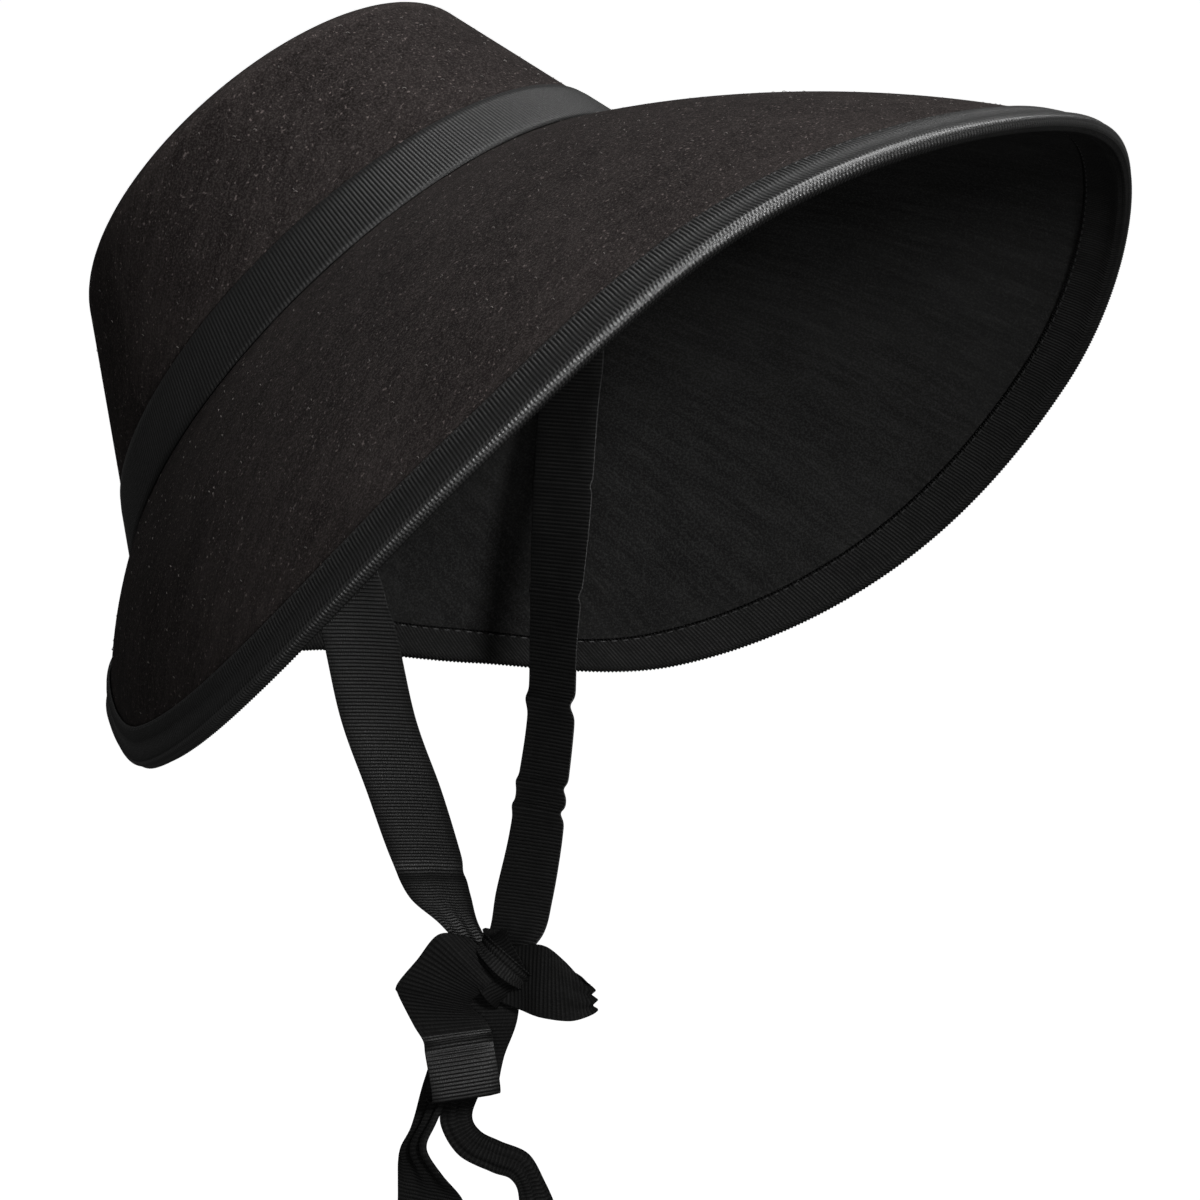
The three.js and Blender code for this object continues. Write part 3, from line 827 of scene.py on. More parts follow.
def mix_colors(tree, place, share, first, second):
    """Two colours mixed by a socket; each is a socket or a colour."""
    mix = new_node(tree, "ShaderNodeMix", place, data_type="RGBA")
    tree.links.new(share, mix.inputs["Factor"])
    for socket, color in ((mix.inputs[6], first), (mix.inputs[7], second)):
        if isinstance(color, bpy.types.NodeSocket):
            tree.links.new(color, socket)
        else:
            socket.default_value = (*color, 1.0)
    return mix.outputs[2]


def pattern(tree, row, vector, look, turn=(0.0, 0.0, 0.0)):
    """A noise pattern spread from 0 to 1, in its own row of the tree."""
    waves, detail, roughness, low, high = look
    noise = surface_noise(tree, (-1300, row), vector, waves, detail, roughness, turn)
    return ramp(tree, (-850, row), noise, low, high)


def weighted_sum(tree, top, terms):
    """Sockets added up in order, each times its share."""
    total = None
    for step, (value, share) in enumerate(terms):
        row = top - 200 * step
        part = math_node(tree, "MULTIPLY", (-650, row), value, share)
        total = part if total is None else math_node(tree, "ADD", (-450, row), total, part)
    return total


def shade(color, tone):
    """A colour made lighter or darker."""
    return tuple(tone * channel for channel in color)


def felt_materials(felt):
    """The felt's outside and its inside, in that order."""
    outside = felt_material("outside_felt", felt.outside_color, felt.fibre_color, True)
    inside = felt_material("inside_felt", felt.inside_color, felt.lining_fibre_color, False)
    return [outside, inside]


def felt_material(name, color, fibre, upright):
    """Brushed wool felt: a dark ground, a nap of raised fibres, and streaks.

    The streaks stand upright along the lay, or else run from the headline out.
    """
    if name in bpy.data.materials:
        return bpy.data.materials[name]
    material, tree, shader = new_material(name)
    coordinates = new_node(tree, "ShaderNodeTexCoord", (-1500, 0))
    flat = coordinates.outputs["UV"]
    solid = coordinates.outputs["Object"]
    nap = pattern(tree, 300, solid, NAP)
    if upright:
        turn = Vector(UP).rotation_difference(FELT_LAY).to_euler()
        streaks = pattern(tree, 0, solid, OUTSIDE_STREAKS, turn)
        bands = pattern(tree, -300, solid, OUTSIDE_BANDS, turn)
        specks = pattern(tree, -900, solid, OUTSIDE_SPECKS)
    else:
        streaks = pattern(tree, 0, flat, INSIDE_STREAKS)
        bands = pattern(tree, -300, flat, INSIDE_BANDS)
        specks = pattern(tree, -900, solid, INSIDE_SPECKS)
    patches = pattern(tree, -600, solid, FELT_PATCHES)
    # This mark makes the felt lighter towards the brim's edge and over the crown's rounded tip edge
    edge_tone = new_node(tree, "ShaderNodeAttribute", (-1300, -1200), attribute_name="edge_tone")
    pile = ((nap, NAP_SHARE), (streaks, STREAK_SHARE))
    marks = ((bands, BAND_SHARE), (patches, PATCH_SHARE), (edge_tone.outputs["Fac"], EDGE_TONE_SHARE))
    ground = mix_colors(tree, (-50, 100), weighted_sum(tree, 300, pile + marks), color, fibre)
    surface = mix_colors(tree, (100, 200), specks, ground, shade(fibre, SPECK_TONE))
    tree.links.new(surface, shader.inputs["Base Color"])
    rough = new_node(tree, "ShaderNodeMapRange", (0, -200))
    rough.inputs["To Min"].default_value = 0.98
    rough.inputs["To Max"].default_value = 0.86
    tree.links.new(nap, rough.inputs["Value"])
    tree.links.new(rough.outputs["Result"], shader.inputs["Roughness"])
    bump = new_node(tree, "ShaderNodeBump", (0, -500))
    bump.inputs["Strength"].default_value = 0.55
    bump.inputs["Distance"].default_value = 0.0006
    tree.links.new(weighted_sum(tree, -800, pile), bump.inputs["Height"])
    tree.links.new(bump.outputs["Normal"], shader.inputs["Normal"])
    shader.inputs["Specular IOR Level"].default_value = 0.05
    shader.inputs["Sheen Weight"].default_value = 0.008
    shader.inputs["Sheen Roughness"].default_value = 0.6
    return material


def grosgrain_materials(ribbon):
    """The ribbon's finishes, in the order of their numbers."""
    return [grosgrain_material(ribbon, *look) for look in GROSGRAIN]


def grosgrain_material(ribbon, name, tone, gloss, roughness, valley_shade_tone):
    """Black grosgrain: fine warp yarns over the ribs, with a painted highlight on their crests and
    painted shade between them.
    """
    if name in bpy.data.materials:
        return bpy.data.materials[name]
    material, tree, shader = new_material(name)
    color = shade(ribbon.color, tone)
    coordinates = new_node(tree, "ShaderNodeTexCoord", (-1500, 0))
    flat = coordinates.outputs["UV"]
    yarns = pattern(tree, 300, flat, YARN)
    clouds = pattern(tree, 0, flat, RIBBON_CLOUDS)
    uneven = pattern(tree, -300, flat, UNEVEN_RIBS)
    terms = ((yarns, YARN_SHARE), (clouds, CLOUD_SHARE), (uneven, UNEVEN_SHARE))
    # Yarns, clouds and uneven ribs vary the tone at random, up to a far lighter colour that is a painted
    # highlight
    woven_and_highlight = mix_colors(tree, (0, 100), weighted_sum(tree, 300, terms), color, shade(color, CREST_HIGHLIGHT_TONE))
    split = new_node(tree, "ShaderNodeSeparateXYZ", (-900, 600))
    tree.links.new(flat, split.inputs["Vector"])
    turns = math_node(tree, "MULTIPLY", (-700, 600), split.outputs["X"], 2 * math.pi / ribbon.rib_pitch)
    wave = math_node(tree, "COSINE", (-500, 600), turns)
    # Painted light across the ribs: the crests get the lighter colour, and the valleys the darker tone of
    # painted shade
    crest = ramp(tree, (-300, 600), wave, CREST_START, CREST_END)
    surface = mix_colors(tree, (150, 200), crest, shade(color, valley_shade_tone), woven_and_highlight)
    tree.links.new(surface, shader.inputs["Base Color"])
    rough = new_node(tree, "ShaderNodeMapRange", (0, -200))
    rough.inputs["To Min"].default_value = roughness + 0.2
    rough.inputs["To Max"].default_value = roughness
    tree.links.new(yarns, rough.inputs["Value"])
    tree.links.new(rough.outputs["Result"], shader.inputs["Roughness"])
    bump = new_node(tree, "ShaderNodeBump", (0, -450))
    bump.inputs["Strength"].default_value = 0.3
    bump.inputs["Distance"].default_value = 0.0002
    tree.links.new(yarns, bump.inputs["Height"])
    tree.links.new(bump.outputs["Normal"], shader.inputs["Normal"])
    shader.inputs["Specular IOR Level"].default_value = gloss
    return material


def thread_material(name, color, roughness):
    """Spun thread or a loose fibre, a little uneven in tone."""
    material, tree, shader = new_material(name)
    coordinates = new_node(tree, "ShaderNodeTexCoord", (-1500, 0))
    twist = pattern(tree, 0, coordinates.outputs["Object"], THREAD_TWIST)
    surface = mix_colors(tree, (0, 0), twist, shade(color, THREAD_DARK_TONE), color)
    tree.links.new(surface, shader.inputs["Base Color"])
    shader.inputs["Roughness"].default_value = roughness
    shader.inputs["Specular IOR Level"].default_value = 0.3
    return material


def floor_material(color):
    """Plain pale paper."""
    material, tree, shader = new_material("pale_paper")
    coordinates = new_node(tree, "ShaderNodeTexCoord", (-1500, 0))
    grain = pattern(tree, 0, coordinates.outputs["Object"], PAPER_GRAIN)
    surface = mix_colors(tree, (0, 0), grain, shade(color, PAPER_DARK_TONE), color)
    tree.links.new(surface, shader.inputs["Base Color"])
    shader.inputs["Roughness"].default_value = 0.95
    shader.inputs["Specular IOR Level"].default_value = 0.1
    shader.inputs["Emission Color"].default_value = WHITE
    shader.inputs["Emission Strength"].default_value = FLOOR_GLOW
    return material


# Ribbons

def catmull_rom(points, steps, power):
    """A smooth line through points; power 0.5 is centripetal and 0 is uniform."""
    points = np.asarray(points, float)
    padded = np.vstack((2 * points[0] - points[1], points, 2 * points[-1] - points[-2]))
    found = []
    for index in range(1, len(padded) - 2):
        p0, p1, p2, p3 = padded[index - 1:index + 3]
        d0 = max(np.linalg.norm(p1 - p0), 1e-6) ** power
        d1 = max(np.linalg.norm(p2 - p1), 1e-6) ** power
        d2 = max(np.linalg.norm(p3 - p2), 1e-6) ** power
        leave = ((p1 - p0) / d0 - (p2 - p0) / (d0 + d1) + (p2 - p1) / d1) * d1
        arrive = ((p2 - p1) / d1 - (p3 - p1) / (d1 + d2) + (p3 - p2) / d2) * d1
        share = np.linspace(0, 1, steps, endpoint=False)[:, None]
        smooth = share * share * (3 - 2 * share)
        bend = share * (1 - share) * ((1 - share) * leave - share * arrive)
        found.append(p1 + smooth * (p2 - p1) + bend)
    found.append(points[-1:])
    return np.vstack(found)


def tie_stations(rows, side):
    """Centres and half widths of a tie's ribbon."""
    table = np.array(rows, float)
    turn = np.radians(table[:, 4])
    halves = np.stack((side * np.sin(turn), np.cos(turn), np.zeros(len(turn))), 1)
    return table[:, :3], halves * table[:, 3:4] / 2


def bow_point(across, toward, up):
    """A vector given in the bow's own directions."""
    return np.outer(across, BOW_ACROSS) + np.outer(toward, BOW_TOWARD) + np.outer(up, UP)


def bow_stations(rows):
    """Centres and half widths of one of the bow's ribbons."""
    table = np.array(rows, float)
    roll = np.radians(table[:, 4])
    yaw = np.radians(table[:, 5])
    halves = bow_point(np.cos(yaw) * np.cos(roll), np.sin(yaw), np.cos(yaw) * np.sin(roll))
    centres = bow_point(table[:, 0], table[:, 1], table[:, 2]) + KNOT_CENTRE
    return centres, halves * table[:, 3:4] / 2


def unit(vectors):
    """Vectors of length one."""
    return vectors / np.maximum(np.linalg.norm(vectors, axis=-1, keepdims=True), 1e-9)


def gather(width, full, across, phase, amount):
    """Folds along a ribbon that is drawn in: the narrower it is, the deeper they are."""
    depth = amount * np.maximum(full - width, 0.0)
    return depth[:, None] * np.cos(math.pi * GATHER_WAVES * across + phase)


def add_ribbon(cloth, line, halves, ribbon, finish, patch=(0.0, 0.0), creases=(), phase=0.0, curl=0.5,
               folds=0.1, closed=False):
    """A ribbon along a line, ready for its ribs; returns its length.

    It has one finish, but shows its face between the two shares of its length in patch.
    """
    pitch = ribbon.rib_pitch / MM
    full = ribbon.width / MM
    loop = np.vstack((line, line[:1])) if closed else line
    loop_halves = np.vstack((halves, halves[:1])) if closed else halves
    along = np.concatenate(((0.0,), np.cumsum(np.linalg.norm(np.diff(loop, axis=0), axis=1))))
    length = along[-1]
    rows = max(2, round(length / pitch)) * ROWS_PER_RIB
    run = np.linspace(0.0, length, rows, endpoint=not closed)
    centre = np.stack([np.interp(run, along, loop[:, axis]) for axis in range(3)], 1)
    half = np.stack([np.interp(run, along, loop_halves[:, axis]) for axis in range(3)], 1)
    inner = np.linspace(SELVAGE - 1.0, 1.0 - SELVAGE, ACROSS_POINTS - 2)
    across = np.concatenate(((-1.0,), inner, (1.0,)))
    width = 2 * np.linalg.norm(half, axis=1)
    direction = np.gradient(centre, axis=0)
    face = unit(np.cross(direction, half))
    offset = gather(width, full, across, phase, folds) + curl * (1 - across ** 2)
    narrow = np.ones(rows)
    for height, depth, reach in creases:
        place = run[np.argmin(np.abs(centre[:, 2] - height))]
        dip = np.exp(-((run - place) / reach) ** 2)
        lean = 1 + CREASE_LEAN * across
        offset = offset - depth * dip[:, None] * lean
        narrow = narrow - CREASE_NARROWING * depth * dip
    spread = across[None, :, None] * (half * narrow[:, None])[:, None, :]
    middle = centre[:, None, :] + spread + offset[:, :, None] * face[:, None, :]
    normal = unit(np.cross(np.gradient(middle, axis=0), np.gradient(middle, axis=1)))
    thick = ribbon.thickness / MM / 2
    points = np.concatenate((middle + thick * normal, (middle - thick * normal)[:, ::-1]), axis=1)
    field = np.clip((1 - np.abs(across)) / RIB_FADE, 0.0, 1.0)
    rib = np.concatenate((field, field[::-1]))
    sideways = np.concatenate((across, across[::-1], across[:1])) * full / 2
    whole = round(length / pitch) * pitch
    ribs_run = run / length * whole
    u_rows = np.append(ribs_run, whole) if closed else ribs_run
    uvs = np.stack(np.meshgrid(u_rows, sideways, indexing="ij"), -1)
    share = run / length
    finishes = np.where((share > patch[0]) & (share < patch[1]), FACE, finish)
    ribs_up = np.where(finishes == FACE, 1.0, BACK_RIBS)[:, None] * rib
    steps = rows if closed else rows - 1
    first, turned = cloth.add_grid(points, uvs, closed, True, finishes[:steps, None],
                                   run=ribs_run[:, None] * MM, rib=ribs_up)
    if not closed:
        columns = 2 * ACROSS_POINTS
        for start, flip in ((first, True), (first + (rows - 1) * columns, False)):
            for step in range(ACROSS_POINTS - 1):
                corners = (step, step + 1, columns - 2 - step, columns - 1 - step)
                order = corners if flip == turned else corners[::-1]
                cloth.add_face([start + corner for corner in order])
    return length


def ribbon_piece(name, node, stations, context, held, rests_on, finish, **shape):
    """A ribbed ribbon in place of its solid."""
    ribbon = context.scene.bonnet_ribbon
    line = catmull_rom(stations[0], STATION_STEPS, 0.5)
    halves = catmull_rom(stations[1], STATION_STEPS, 0.0)
    cloth = Cloth()
    length = add_ribbon(cloth, line, halves, ribbon, finish, **shape)
    piece = rib_piece(cloth.make(name, grosgrain_materials(ribbon)), ribbon)
    settle(piece, node)
    return piece


def rib_piece(piece, ribbon):
    """Ribs on a ribbon piece."""
    values = {
        "Rib Pitch": ribbon.rib_pitch,
        "Rib Height": ribbon.rib_height,
    }
    return run_tree(piece, rib_tree(), values)


def even_angles(reach_past, count):
    """Angles at even distances along the brim's edge, starting at the back, and the edge's length."""
    angles = np.linspace(180.0, 540.0, EDGE_SAMPLES + 1)
    turned = np.mod(angles, 360.0)
    edge = brim_points(turned, felt_reach(turned) + reach_past, 0.0)
    along = np.concatenate(((0.0,), np.cumsum(np.linalg.norm(np.diff(edge, axis=0), axis=1))))
    places = np.linspace(0.0, along[-1], count, endpoint=False)
    return np.mod(np.interp(places, along, angles), 360.0), along[-1]


# Operators

class BONNET_OT_build_stage(bpy.types.Operator):
    """Make the camera, the light and the floor"""

    bl_idname = "bonnet.build_stage"
    bl_label = "Build stage"

    def execute(self, context):
        stage = context.scene.bonnet_stage
        scene = context.scene
        camera = bpy.data.cameras.new("bonnet_camera")
        camera.lens = CAMERA_LENS
        camera.sensor_width = CAMERA_SENSOR
        camera.clip_start = 0.05
        camera.clip_end = 200.0
        view = bpy.data.objects.new("bonnet_camera", camera)
        view.location = CAMERA_PLACE
        view.rotation_mode = "QUATERNION"
        view.rotation_quaternion = (-CAMERA_BACK).to_track_quat("-Z", "Y")
        scene.collection.objects.link(view)
        scene.camera = view
        scene.view_settings.view_transform = "Standard"
        world = bpy.data.worlds.new("even_light")
        world.use_nodes = True
        self.add_sky(world.node_tree, stage.sky_strength)
        scene.world = world
        self.add_light(scene, "key_light", KEY_PLACE, KEY_SIZE, stage.key_power)
        self.add_light(scene, "top_light", TOP_PLACE, TOP_SIZE, stage.top_power)
        self.add_light(scene, "fill_light", FILL_PLACE, FILL_SIZE, stage.fill_power)
        self.add_floor(scene, stage)
        return {"FINISHED"}

    def add_sky(self, tree, strength):
        """An even sky that is brighter overhead; the camera sees it as plain white."""
        tree.nodes.clear()
        coordinates = new_node(tree, "ShaderNodeTexCoord", (-900, 0))
        split = new_node(tree, "ShaderNodeSeparateXYZ", (-700, 0))
        tree.links.new(coordinates.outputs["Generated"], split.inputs["Vector"])
        rise = new_node(tree, "ShaderNodeMapRange", (-500, 0))
        rise.inputs["From Min"].default_value = SKY_BOTTOM
        rise.inputs["To Min"].default_value = SKY_LOW_SHARE * strength
        rise.inputs["To Max"].default_value = strength
        tree.links.new(split.outputs["Z"], rise.inputs["Value"])
        light = new_node(tree, "ShaderNodeBackground", (-250, 0))
        tree.links.new(rise.outputs["Result"], light.inputs["Strength"])
        white = new_node(tree, "ShaderNodeBackground", (-250, -200))
        white.inputs["Color"].default_value = WHITE
        light.inputs["Color"].default_value = WHITE
        path = new_node(tree, "ShaderNodeLightPath", (-250, 300))
        mix = new_node(tree, "ShaderNodeMixShader", (0, 0))
        tree.links.new(path.outputs["Is Camera Ray"], mix.inputs["Fac"])
        tree.links.new(light.outputs["Background"], mix.inputs[1])
        tree.links.new(white.outputs["Background"], mix.inputs[2])
        output = new_node(tree, "ShaderNodeOutputWorld", (250, 0))
        tree.links.new(mix.outputs["Shader"], output.inputs["Surface"])

    def add_light(self, scene, name, place, size, power):
        """A square soft light aimed at the brim."""
        lamp = bpy.data.lights.new(name, "AREA")
        lamp.shape = "SQUARE"
        lamp.size = size
        lamp.energy = power
        light = bpy.data.objects.new(name, lamp)
        light.location = place
        light.rotation_mode = "QUATERNION"
        light.rotation_quaternion = (LIGHT_AIM - place).to_track_quat("-Z", "Y")
        scene.collection.objects.link(light)

    def add_floor(self, scene, stage):
        """A wide round floor below the bonnet."""
        turns = np.linspace(0.0, 2 * math.pi, FLOOR_STEPS, endpoint=False)
        points = [(0.0, 0.0, -stage.floor_drop)]
        faces = []
        for ring, radius in enumerate(FLOOR_RADII):
            start = 1 + ring * len(turns)
            points += [(radius * math.cos(t), radius * math.sin(t), -stage.floor_drop) for t in turns]
            for step in range(len(turns)):
                beside = (step + 1) % len(turns)
                if ring == 0:
                    faces.append((0, start + step, start + beside))
                else:
                    inner = start - len(turns)
                    faces.append((inner + step, start + step, start + beside, inner + beside))
        mesh = bpy.data.meshes.new("pale_floor")
        mesh.from_pydata(points, [], faces)
        mesh.materials.append(floor_material(stage.floor_color))
        floor = bpy.data.objects.new("pale_floor", mesh)
        floor.visible_diffuse = False
        floor.visible_glossy = False
        scene.collection.objects.link(floor)


class BONNET_OT_build_brim(bpy.types.Operator):
    """Shape the felt brim with its collar"""

    bl_idname = "bonnet.build_brim"
    bl_label = "Build brim"

    def execute(self, context):
        felt = context.scene.bonnet_felt
        angles = ring_angles(FELT_COLUMNS)
        reach = felt_reach(angles)
        shares = np.linspace(0.02, 1.0, BRIM_ROWS)
        inner_reach = reach - BRIM_INNER_START
        outer = [brim_points(angles, share * reach, 0.0) for share in shares]
        inner = []
        for share in shares[::-1]:
            inner.append(brim_points(angles, BRIM_INNER_START + share * inner_reach, -FELT))
        collar_out = [crown_points(angles, height, COLLAR_INSET) for height in COLLAR_OUTER_HEIGHTS]
        foot_out = [crown_points(angles, brim_height(angles, COLLAR_INSET), COLLAR_INSET)]
        corner = crown_points(angles, brim_height(angles, COLLAR_INNER_INSET) - FELT, COLLAR_INNER_INSET)
        wall = crown_points(angles, COLLAR_BEND_TOP, COLLAR_INNER_INSET)
        bend = []
        for share in np.linspace(0.12, 1.0, COLLAR_BEND_ROWS):
            from_brim = inner[-1] + share * (corner - inner[-1])
            to_wall = corner + share * (wall - corner)
            bend.append(from_brim + share * (to_wall - from_brim))
        collar_in = [crown_points(angles, height, COLLAR_INNER_INSET) for height in COLLAR_INNER_HEIGHTS]
        rings = collar_out + foot_out + outer + inner + bend + collar_in
        outside_rows = len(collar_out) + len(foot_out) + len(outer)
        # The outside is lighter over the last quarter of the brim's reach, most at its edge
        edge_tone = np.zeros(len(rings))
        brim_edge_tone = np.clip((shares - BRIM_EDGE_TONE_START) / (1.0 - BRIM_EDGE_TONE_START), 0.0, 1.0) ** 2
        edge_tone[outside_rows - len(outer):outside_rows] = brim_edge_tone
        cloth = Cloth()
        felt_rings(cloth, rings, outside_rows, edge_tone, BRIM_MAP_GIRTH, True)
        settle(cloth.make("felt_brim", felt_materials(felt)), "brim")
        return {"FINISHED"}


class BONNET_OT_build_crown(bpy.types.Operator):
    """Shape the felt crown with its rounded tip edge"""

    bl_idname = "bonnet.build_crown"
    bl_label = "Build crown"

    def execute(self, context):
        felt = context.scene.bonnet_felt
        angles = ring_angles(FELT_COLUMNS)
        outer_tip = self.tip_rings(angles, CROWN_HEIGHT, CROWN_INSET + TIP_EDGE_RADIUS)
        outer_edge = self.edge_rings(angles, CROWN_HEIGHT, TIP_EDGE_RADIUS, CROWN_INSET)
        foot = seat_height(angles, CROWN_INSET)
        top = CROWN_HEIGHT - TIP_EDGE_RADIUS
        outer_wall = []
        for share in np.linspace(0.02, 1.0, CROWN_OUTER_ROWS):
            outer_wall.append(crown_points(angles, top + share * (foot - top), CROWN_INSET))
        inner_foot = seat_height(angles, CROWN_INNER_INSET)
        inner_wall = []
        for share in np.linspace(0.0, 0.98, CROWN_INNER_ROWS):
            height = inner_foot + share * (top - inner_foot)
            inner_wall.append(crown_points(angles, height, CROWN_INNER_INSET))
        inner_radius = TIP_EDGE_RADIUS - FELT
        inner_edge = self.edge_rings(angles, CROWN_HEIGHT - FELT, inner_radius, CROWN_INNER_INSET)[::-1]
        inner_tip = self.tip_rings(angles, CROWN_HEIGHT - FELT, CROWN_INNER_INSET + inner_radius)[::-1]
        rings = outer_tip + outer_edge + outer_wall + inner_wall + inner_edge + inner_tip
        outside_rows = len(outer_tip) + len(outer_edge) + len(outer_wall)
        # The crown's rounded tip edge is lighter
        edge_tone = np.zeros(len(rings))
        edge_start = len(outer_tip)
        edge_tone[edge_start:edge_start + len(outer_edge)] = 1.0
        cloth = Cloth()
        first, turned = felt_rings(cloth, rings, outside_rows, edge_tone, CROWN_MAP_GIRTH, False)
        last = first + (len(rings) - 1) * FELT_COLUMNS
        around = np.arange(FELT_COLUMNS)
        cloth.add_face((first + around)[::1 if turned else -1])
        cloth.add_face((last + around)[::-1 if turned else 1])
        settle(cloth.make("felt_crown", felt_materials(felt)), "crown")
        return {"FINISHED"}

    def tip_rings(self, angles, height, inset):
        """The flat tip from its centre out, sagging a little in the middle."""
        rim = crown_points(angles, height, inset)
        middle = TIP_FORWARD * FRONT + height * AXIS
        rings = []
        for share in TIP_SHARES:
            sag = TIP_SAG * (1 - share ** 2) ** 2
            rings.append(middle + share * (rim - middle) - sag * AXIS)
        return rings

    def edge_rings(self, angles, top, radius, inset):
        """The rounded edge from the tip down to the wall."""
        rings = []
        for turn in np.radians(np.linspace(90.0, 0.0, TIP_EDGE_ROWS)):
            height = top - radius * (1 - math.sin(turn))
            rings.append(crown_points(angles, height, inset + radius * (1 - math.cos(turn))))
        return rings


class BONNET_OT_build_band(bpy.types.Operator):
    """Lay the ribbed band round the foot of the crown"""

    bl_idname = "bonnet.build_band"
    bl_label = "Build band"

    def execute(self, context):
        ribbon = context.scene.bonnet_ribbon
        pitch = ribbon.rib_pitch / MM
        ribs = round(HEADLINE_GIRTH / pitch)
        columns = ribs * ROWS_PER_RIB
        angles = ring_angles(columns)
        foot = seat_height(angles, 0.0)
        shares = np.linspace(0.0, 1.0, BAND_POINTS)
        heights = [foot + share * (BAND_WIDTH - foot) for share in shares]
        front = [crown_points(angles, height, BAND_SINK) for height in heights]
        back = [crown_points(angles, height, TRIM) for height in heights[::-1]]
        points = np.stack(front + back)
        run = np.arange(columns) / ROWS_PER_RIB * pitch
        field = np.clip(np.minimum(shares, 1 - shares) / BAND_RIB_FADE, 0.0, 1.0)
        rib = BAND_RIBS * np.concatenate((field, np.zeros(len(shares))))[:, None]
        height = np.concatenate((shares, shares[::-1], shares[:1])) * BAND_WIDTH
        uvs = np.stack(np.meshgrid(np.append(run, HEADLINE_GIRTH), height), -1)
        cloth = Cloth()
        cloth.add_grid(points, uvs, True, True, run=run * MM, rib=rib)
        piece = rib_piece(cloth.make("crown_band", grosgrain_materials(ribbon)), ribbon)
        settle(piece, "band")
        return {"FINISHED"}


class BONNET_OT_build_binding(bpy.types.Operator):
    """Fold the ribbed binding over the brim's edge and stitch it down"""

    bl_idname = "bonnet.build_binding"
    bl_label = "Build binding"

    def execute(self, context):
        ribbon = context.scene.bonnet_ribbon
        pitch = ribbon.rib_pitch / MM
        length = even_angles(BEAD_REACH, EDGE_SAMPLES)[1]
        ribs = round(length / pitch)
        columns = ribs * EDGE_COLUMNS_PER_RIB
        angles = even_angles(BEAD_REACH, columns)[0]
        section = self.section()
        reach = felt_reach(angles)
        rings = [brim_points(angles, reach + along, offset) for along, offset, _, _ in section]
        points = np.stack(rings)
        run = np.arange(columns) / EDGE_COLUMNS_PER_RIB * pitch
        rib = np.array([height for _, _, height, _ in section])[:, None]
        shift = np.array([share for _, _, _, share in section])[:, None] * pitch
        uvs = np.stack(np.meshgrid(np.append(run, ribs * pitch), ring_distances(points, True)), -1)
        uvs[:, :, 0] += np.vstack((shift, shift[:1]))
        # The bead takes the lighter bead finish as a painted highlight, and the inner leg the inside
        # finish as painted light
        bead_end = len(BINDING_ROWS) + BEAD_POINTS // 2 + 2
        finish = np.where(np.arange(len(section)) < bead_end, FACE, INSIDE)
        finish[bead_end - BEAD_POINTS // 2:bead_end] = BEAD
        cloth = Cloth()
        cloth.add_grid(points, uvs, True, True, finish[:, None], run=(run + shift) * MM, rib=rib)
        piece = rib_piece(cloth.make("edge_binding", grosgrain_materials(ribbon)), ribbon)
        settle(piece, "brim_binding")
        self.add_stitches(ribbon)
        return {"FINISHED"}

    def section(self):
        """The folded ribbon: place past the felt, offset off the outer face, ribs and their shift."""
        inner = BINDING_GAP
        outer = BINDING_GAP + TRIM - TRIM_SINK
        radius = FELT / 2 + outer + BEAD_BULGE
        centre = BEAD_REACH - radius - BEAD_CLEARANCE
        outside = [(-BINDING_LEG, inner, 0.0, 0.0)]
        outside += [(along, outer - sink, rib, 0.0) for along, sink, rib in BINDING_ROWS]
        bead = []
        for turn in np.linspace(BEAD_HALF_TURN, -BEAD_HALF_TURN, BEAD_POINTS):
            along = centre + radius * math.cos(math.radians(turn))
            offset = radius * math.sin(math.radians(turn)) - FELT / 2
            row = math.floor(turn / BEAD_ROW + 0.5)
            rib = BEAD_RIB_LOW + BEAD_RIB_RISE * math.cos(math.pi * (turn / BEAD_ROW - row)) ** 2
            bead.append((along, offset, rib, 0.5 * (row % 2)))
        inside = [(along, -FELT - offset, rib, shift) for along, offset, rib, shift in outside[::-2]]
        hidden = [(inner, -FELT - inner, 0.0, 0.0), (inner, inner, 0.0, 0.0)]
        return outside + bead + inside + hidden

    def add_stitches(self, ribbon):
        """Two rows of stitches, one along each leg of the binding."""
        points = []
        seams = []
        faces = []
        count = round(even_angles(-STITCH_LINE, EDGE_SAMPLES)[1] * MM / ribbon.stitch_pitch)
        angles = even_angles(-STITCH_LINE, count)[0]
        reach = felt_reach(angles) - STITCH_LINE
        for offset in (BINDING_GAP + TRIM - STITCH_SINK, -FELT - BINDING_GAP - TRIM + STITCH_SINK):
            here = brim_points(angles, reach, offset)
            points.append(here)
            seams.append(unit(np.roll(here, -1, axis=0) - np.roll(here, 1, axis=0)))
            faces.append(unit(brim_points(angles, reach, offset + 1.0) - here))
        mesh = bpy.data.meshes.new("binding_stitches")
        mesh.from_pydata((np.concatenate(points) * MM).tolist(), [], [])
        for name, values in (("seam", seams), ("face", faces)):
            attribute = mesh.attributes.new(name, "FLOAT_VECTOR", "POINT")
            attribute.data.foreach_set("vector", np.concatenate(values).astype(np.float32).ravel())
        piece = bpy.data.objects.new("binding_stitches", mesh)
        bpy.context.scene.collection.objects.link(piece)
        values = {
            "Stitch Length": STITCH_SHARE * ribbon.stitch_pitch,
            "Thread Radius": THREAD_RADIUS,
            "Material": thread_material("sewing_thread", ribbon.thread_color, THREAD_ROUGHNESS),
        }
        run_tree(piece, stitch_tree(), values)
        settle(piece, None)


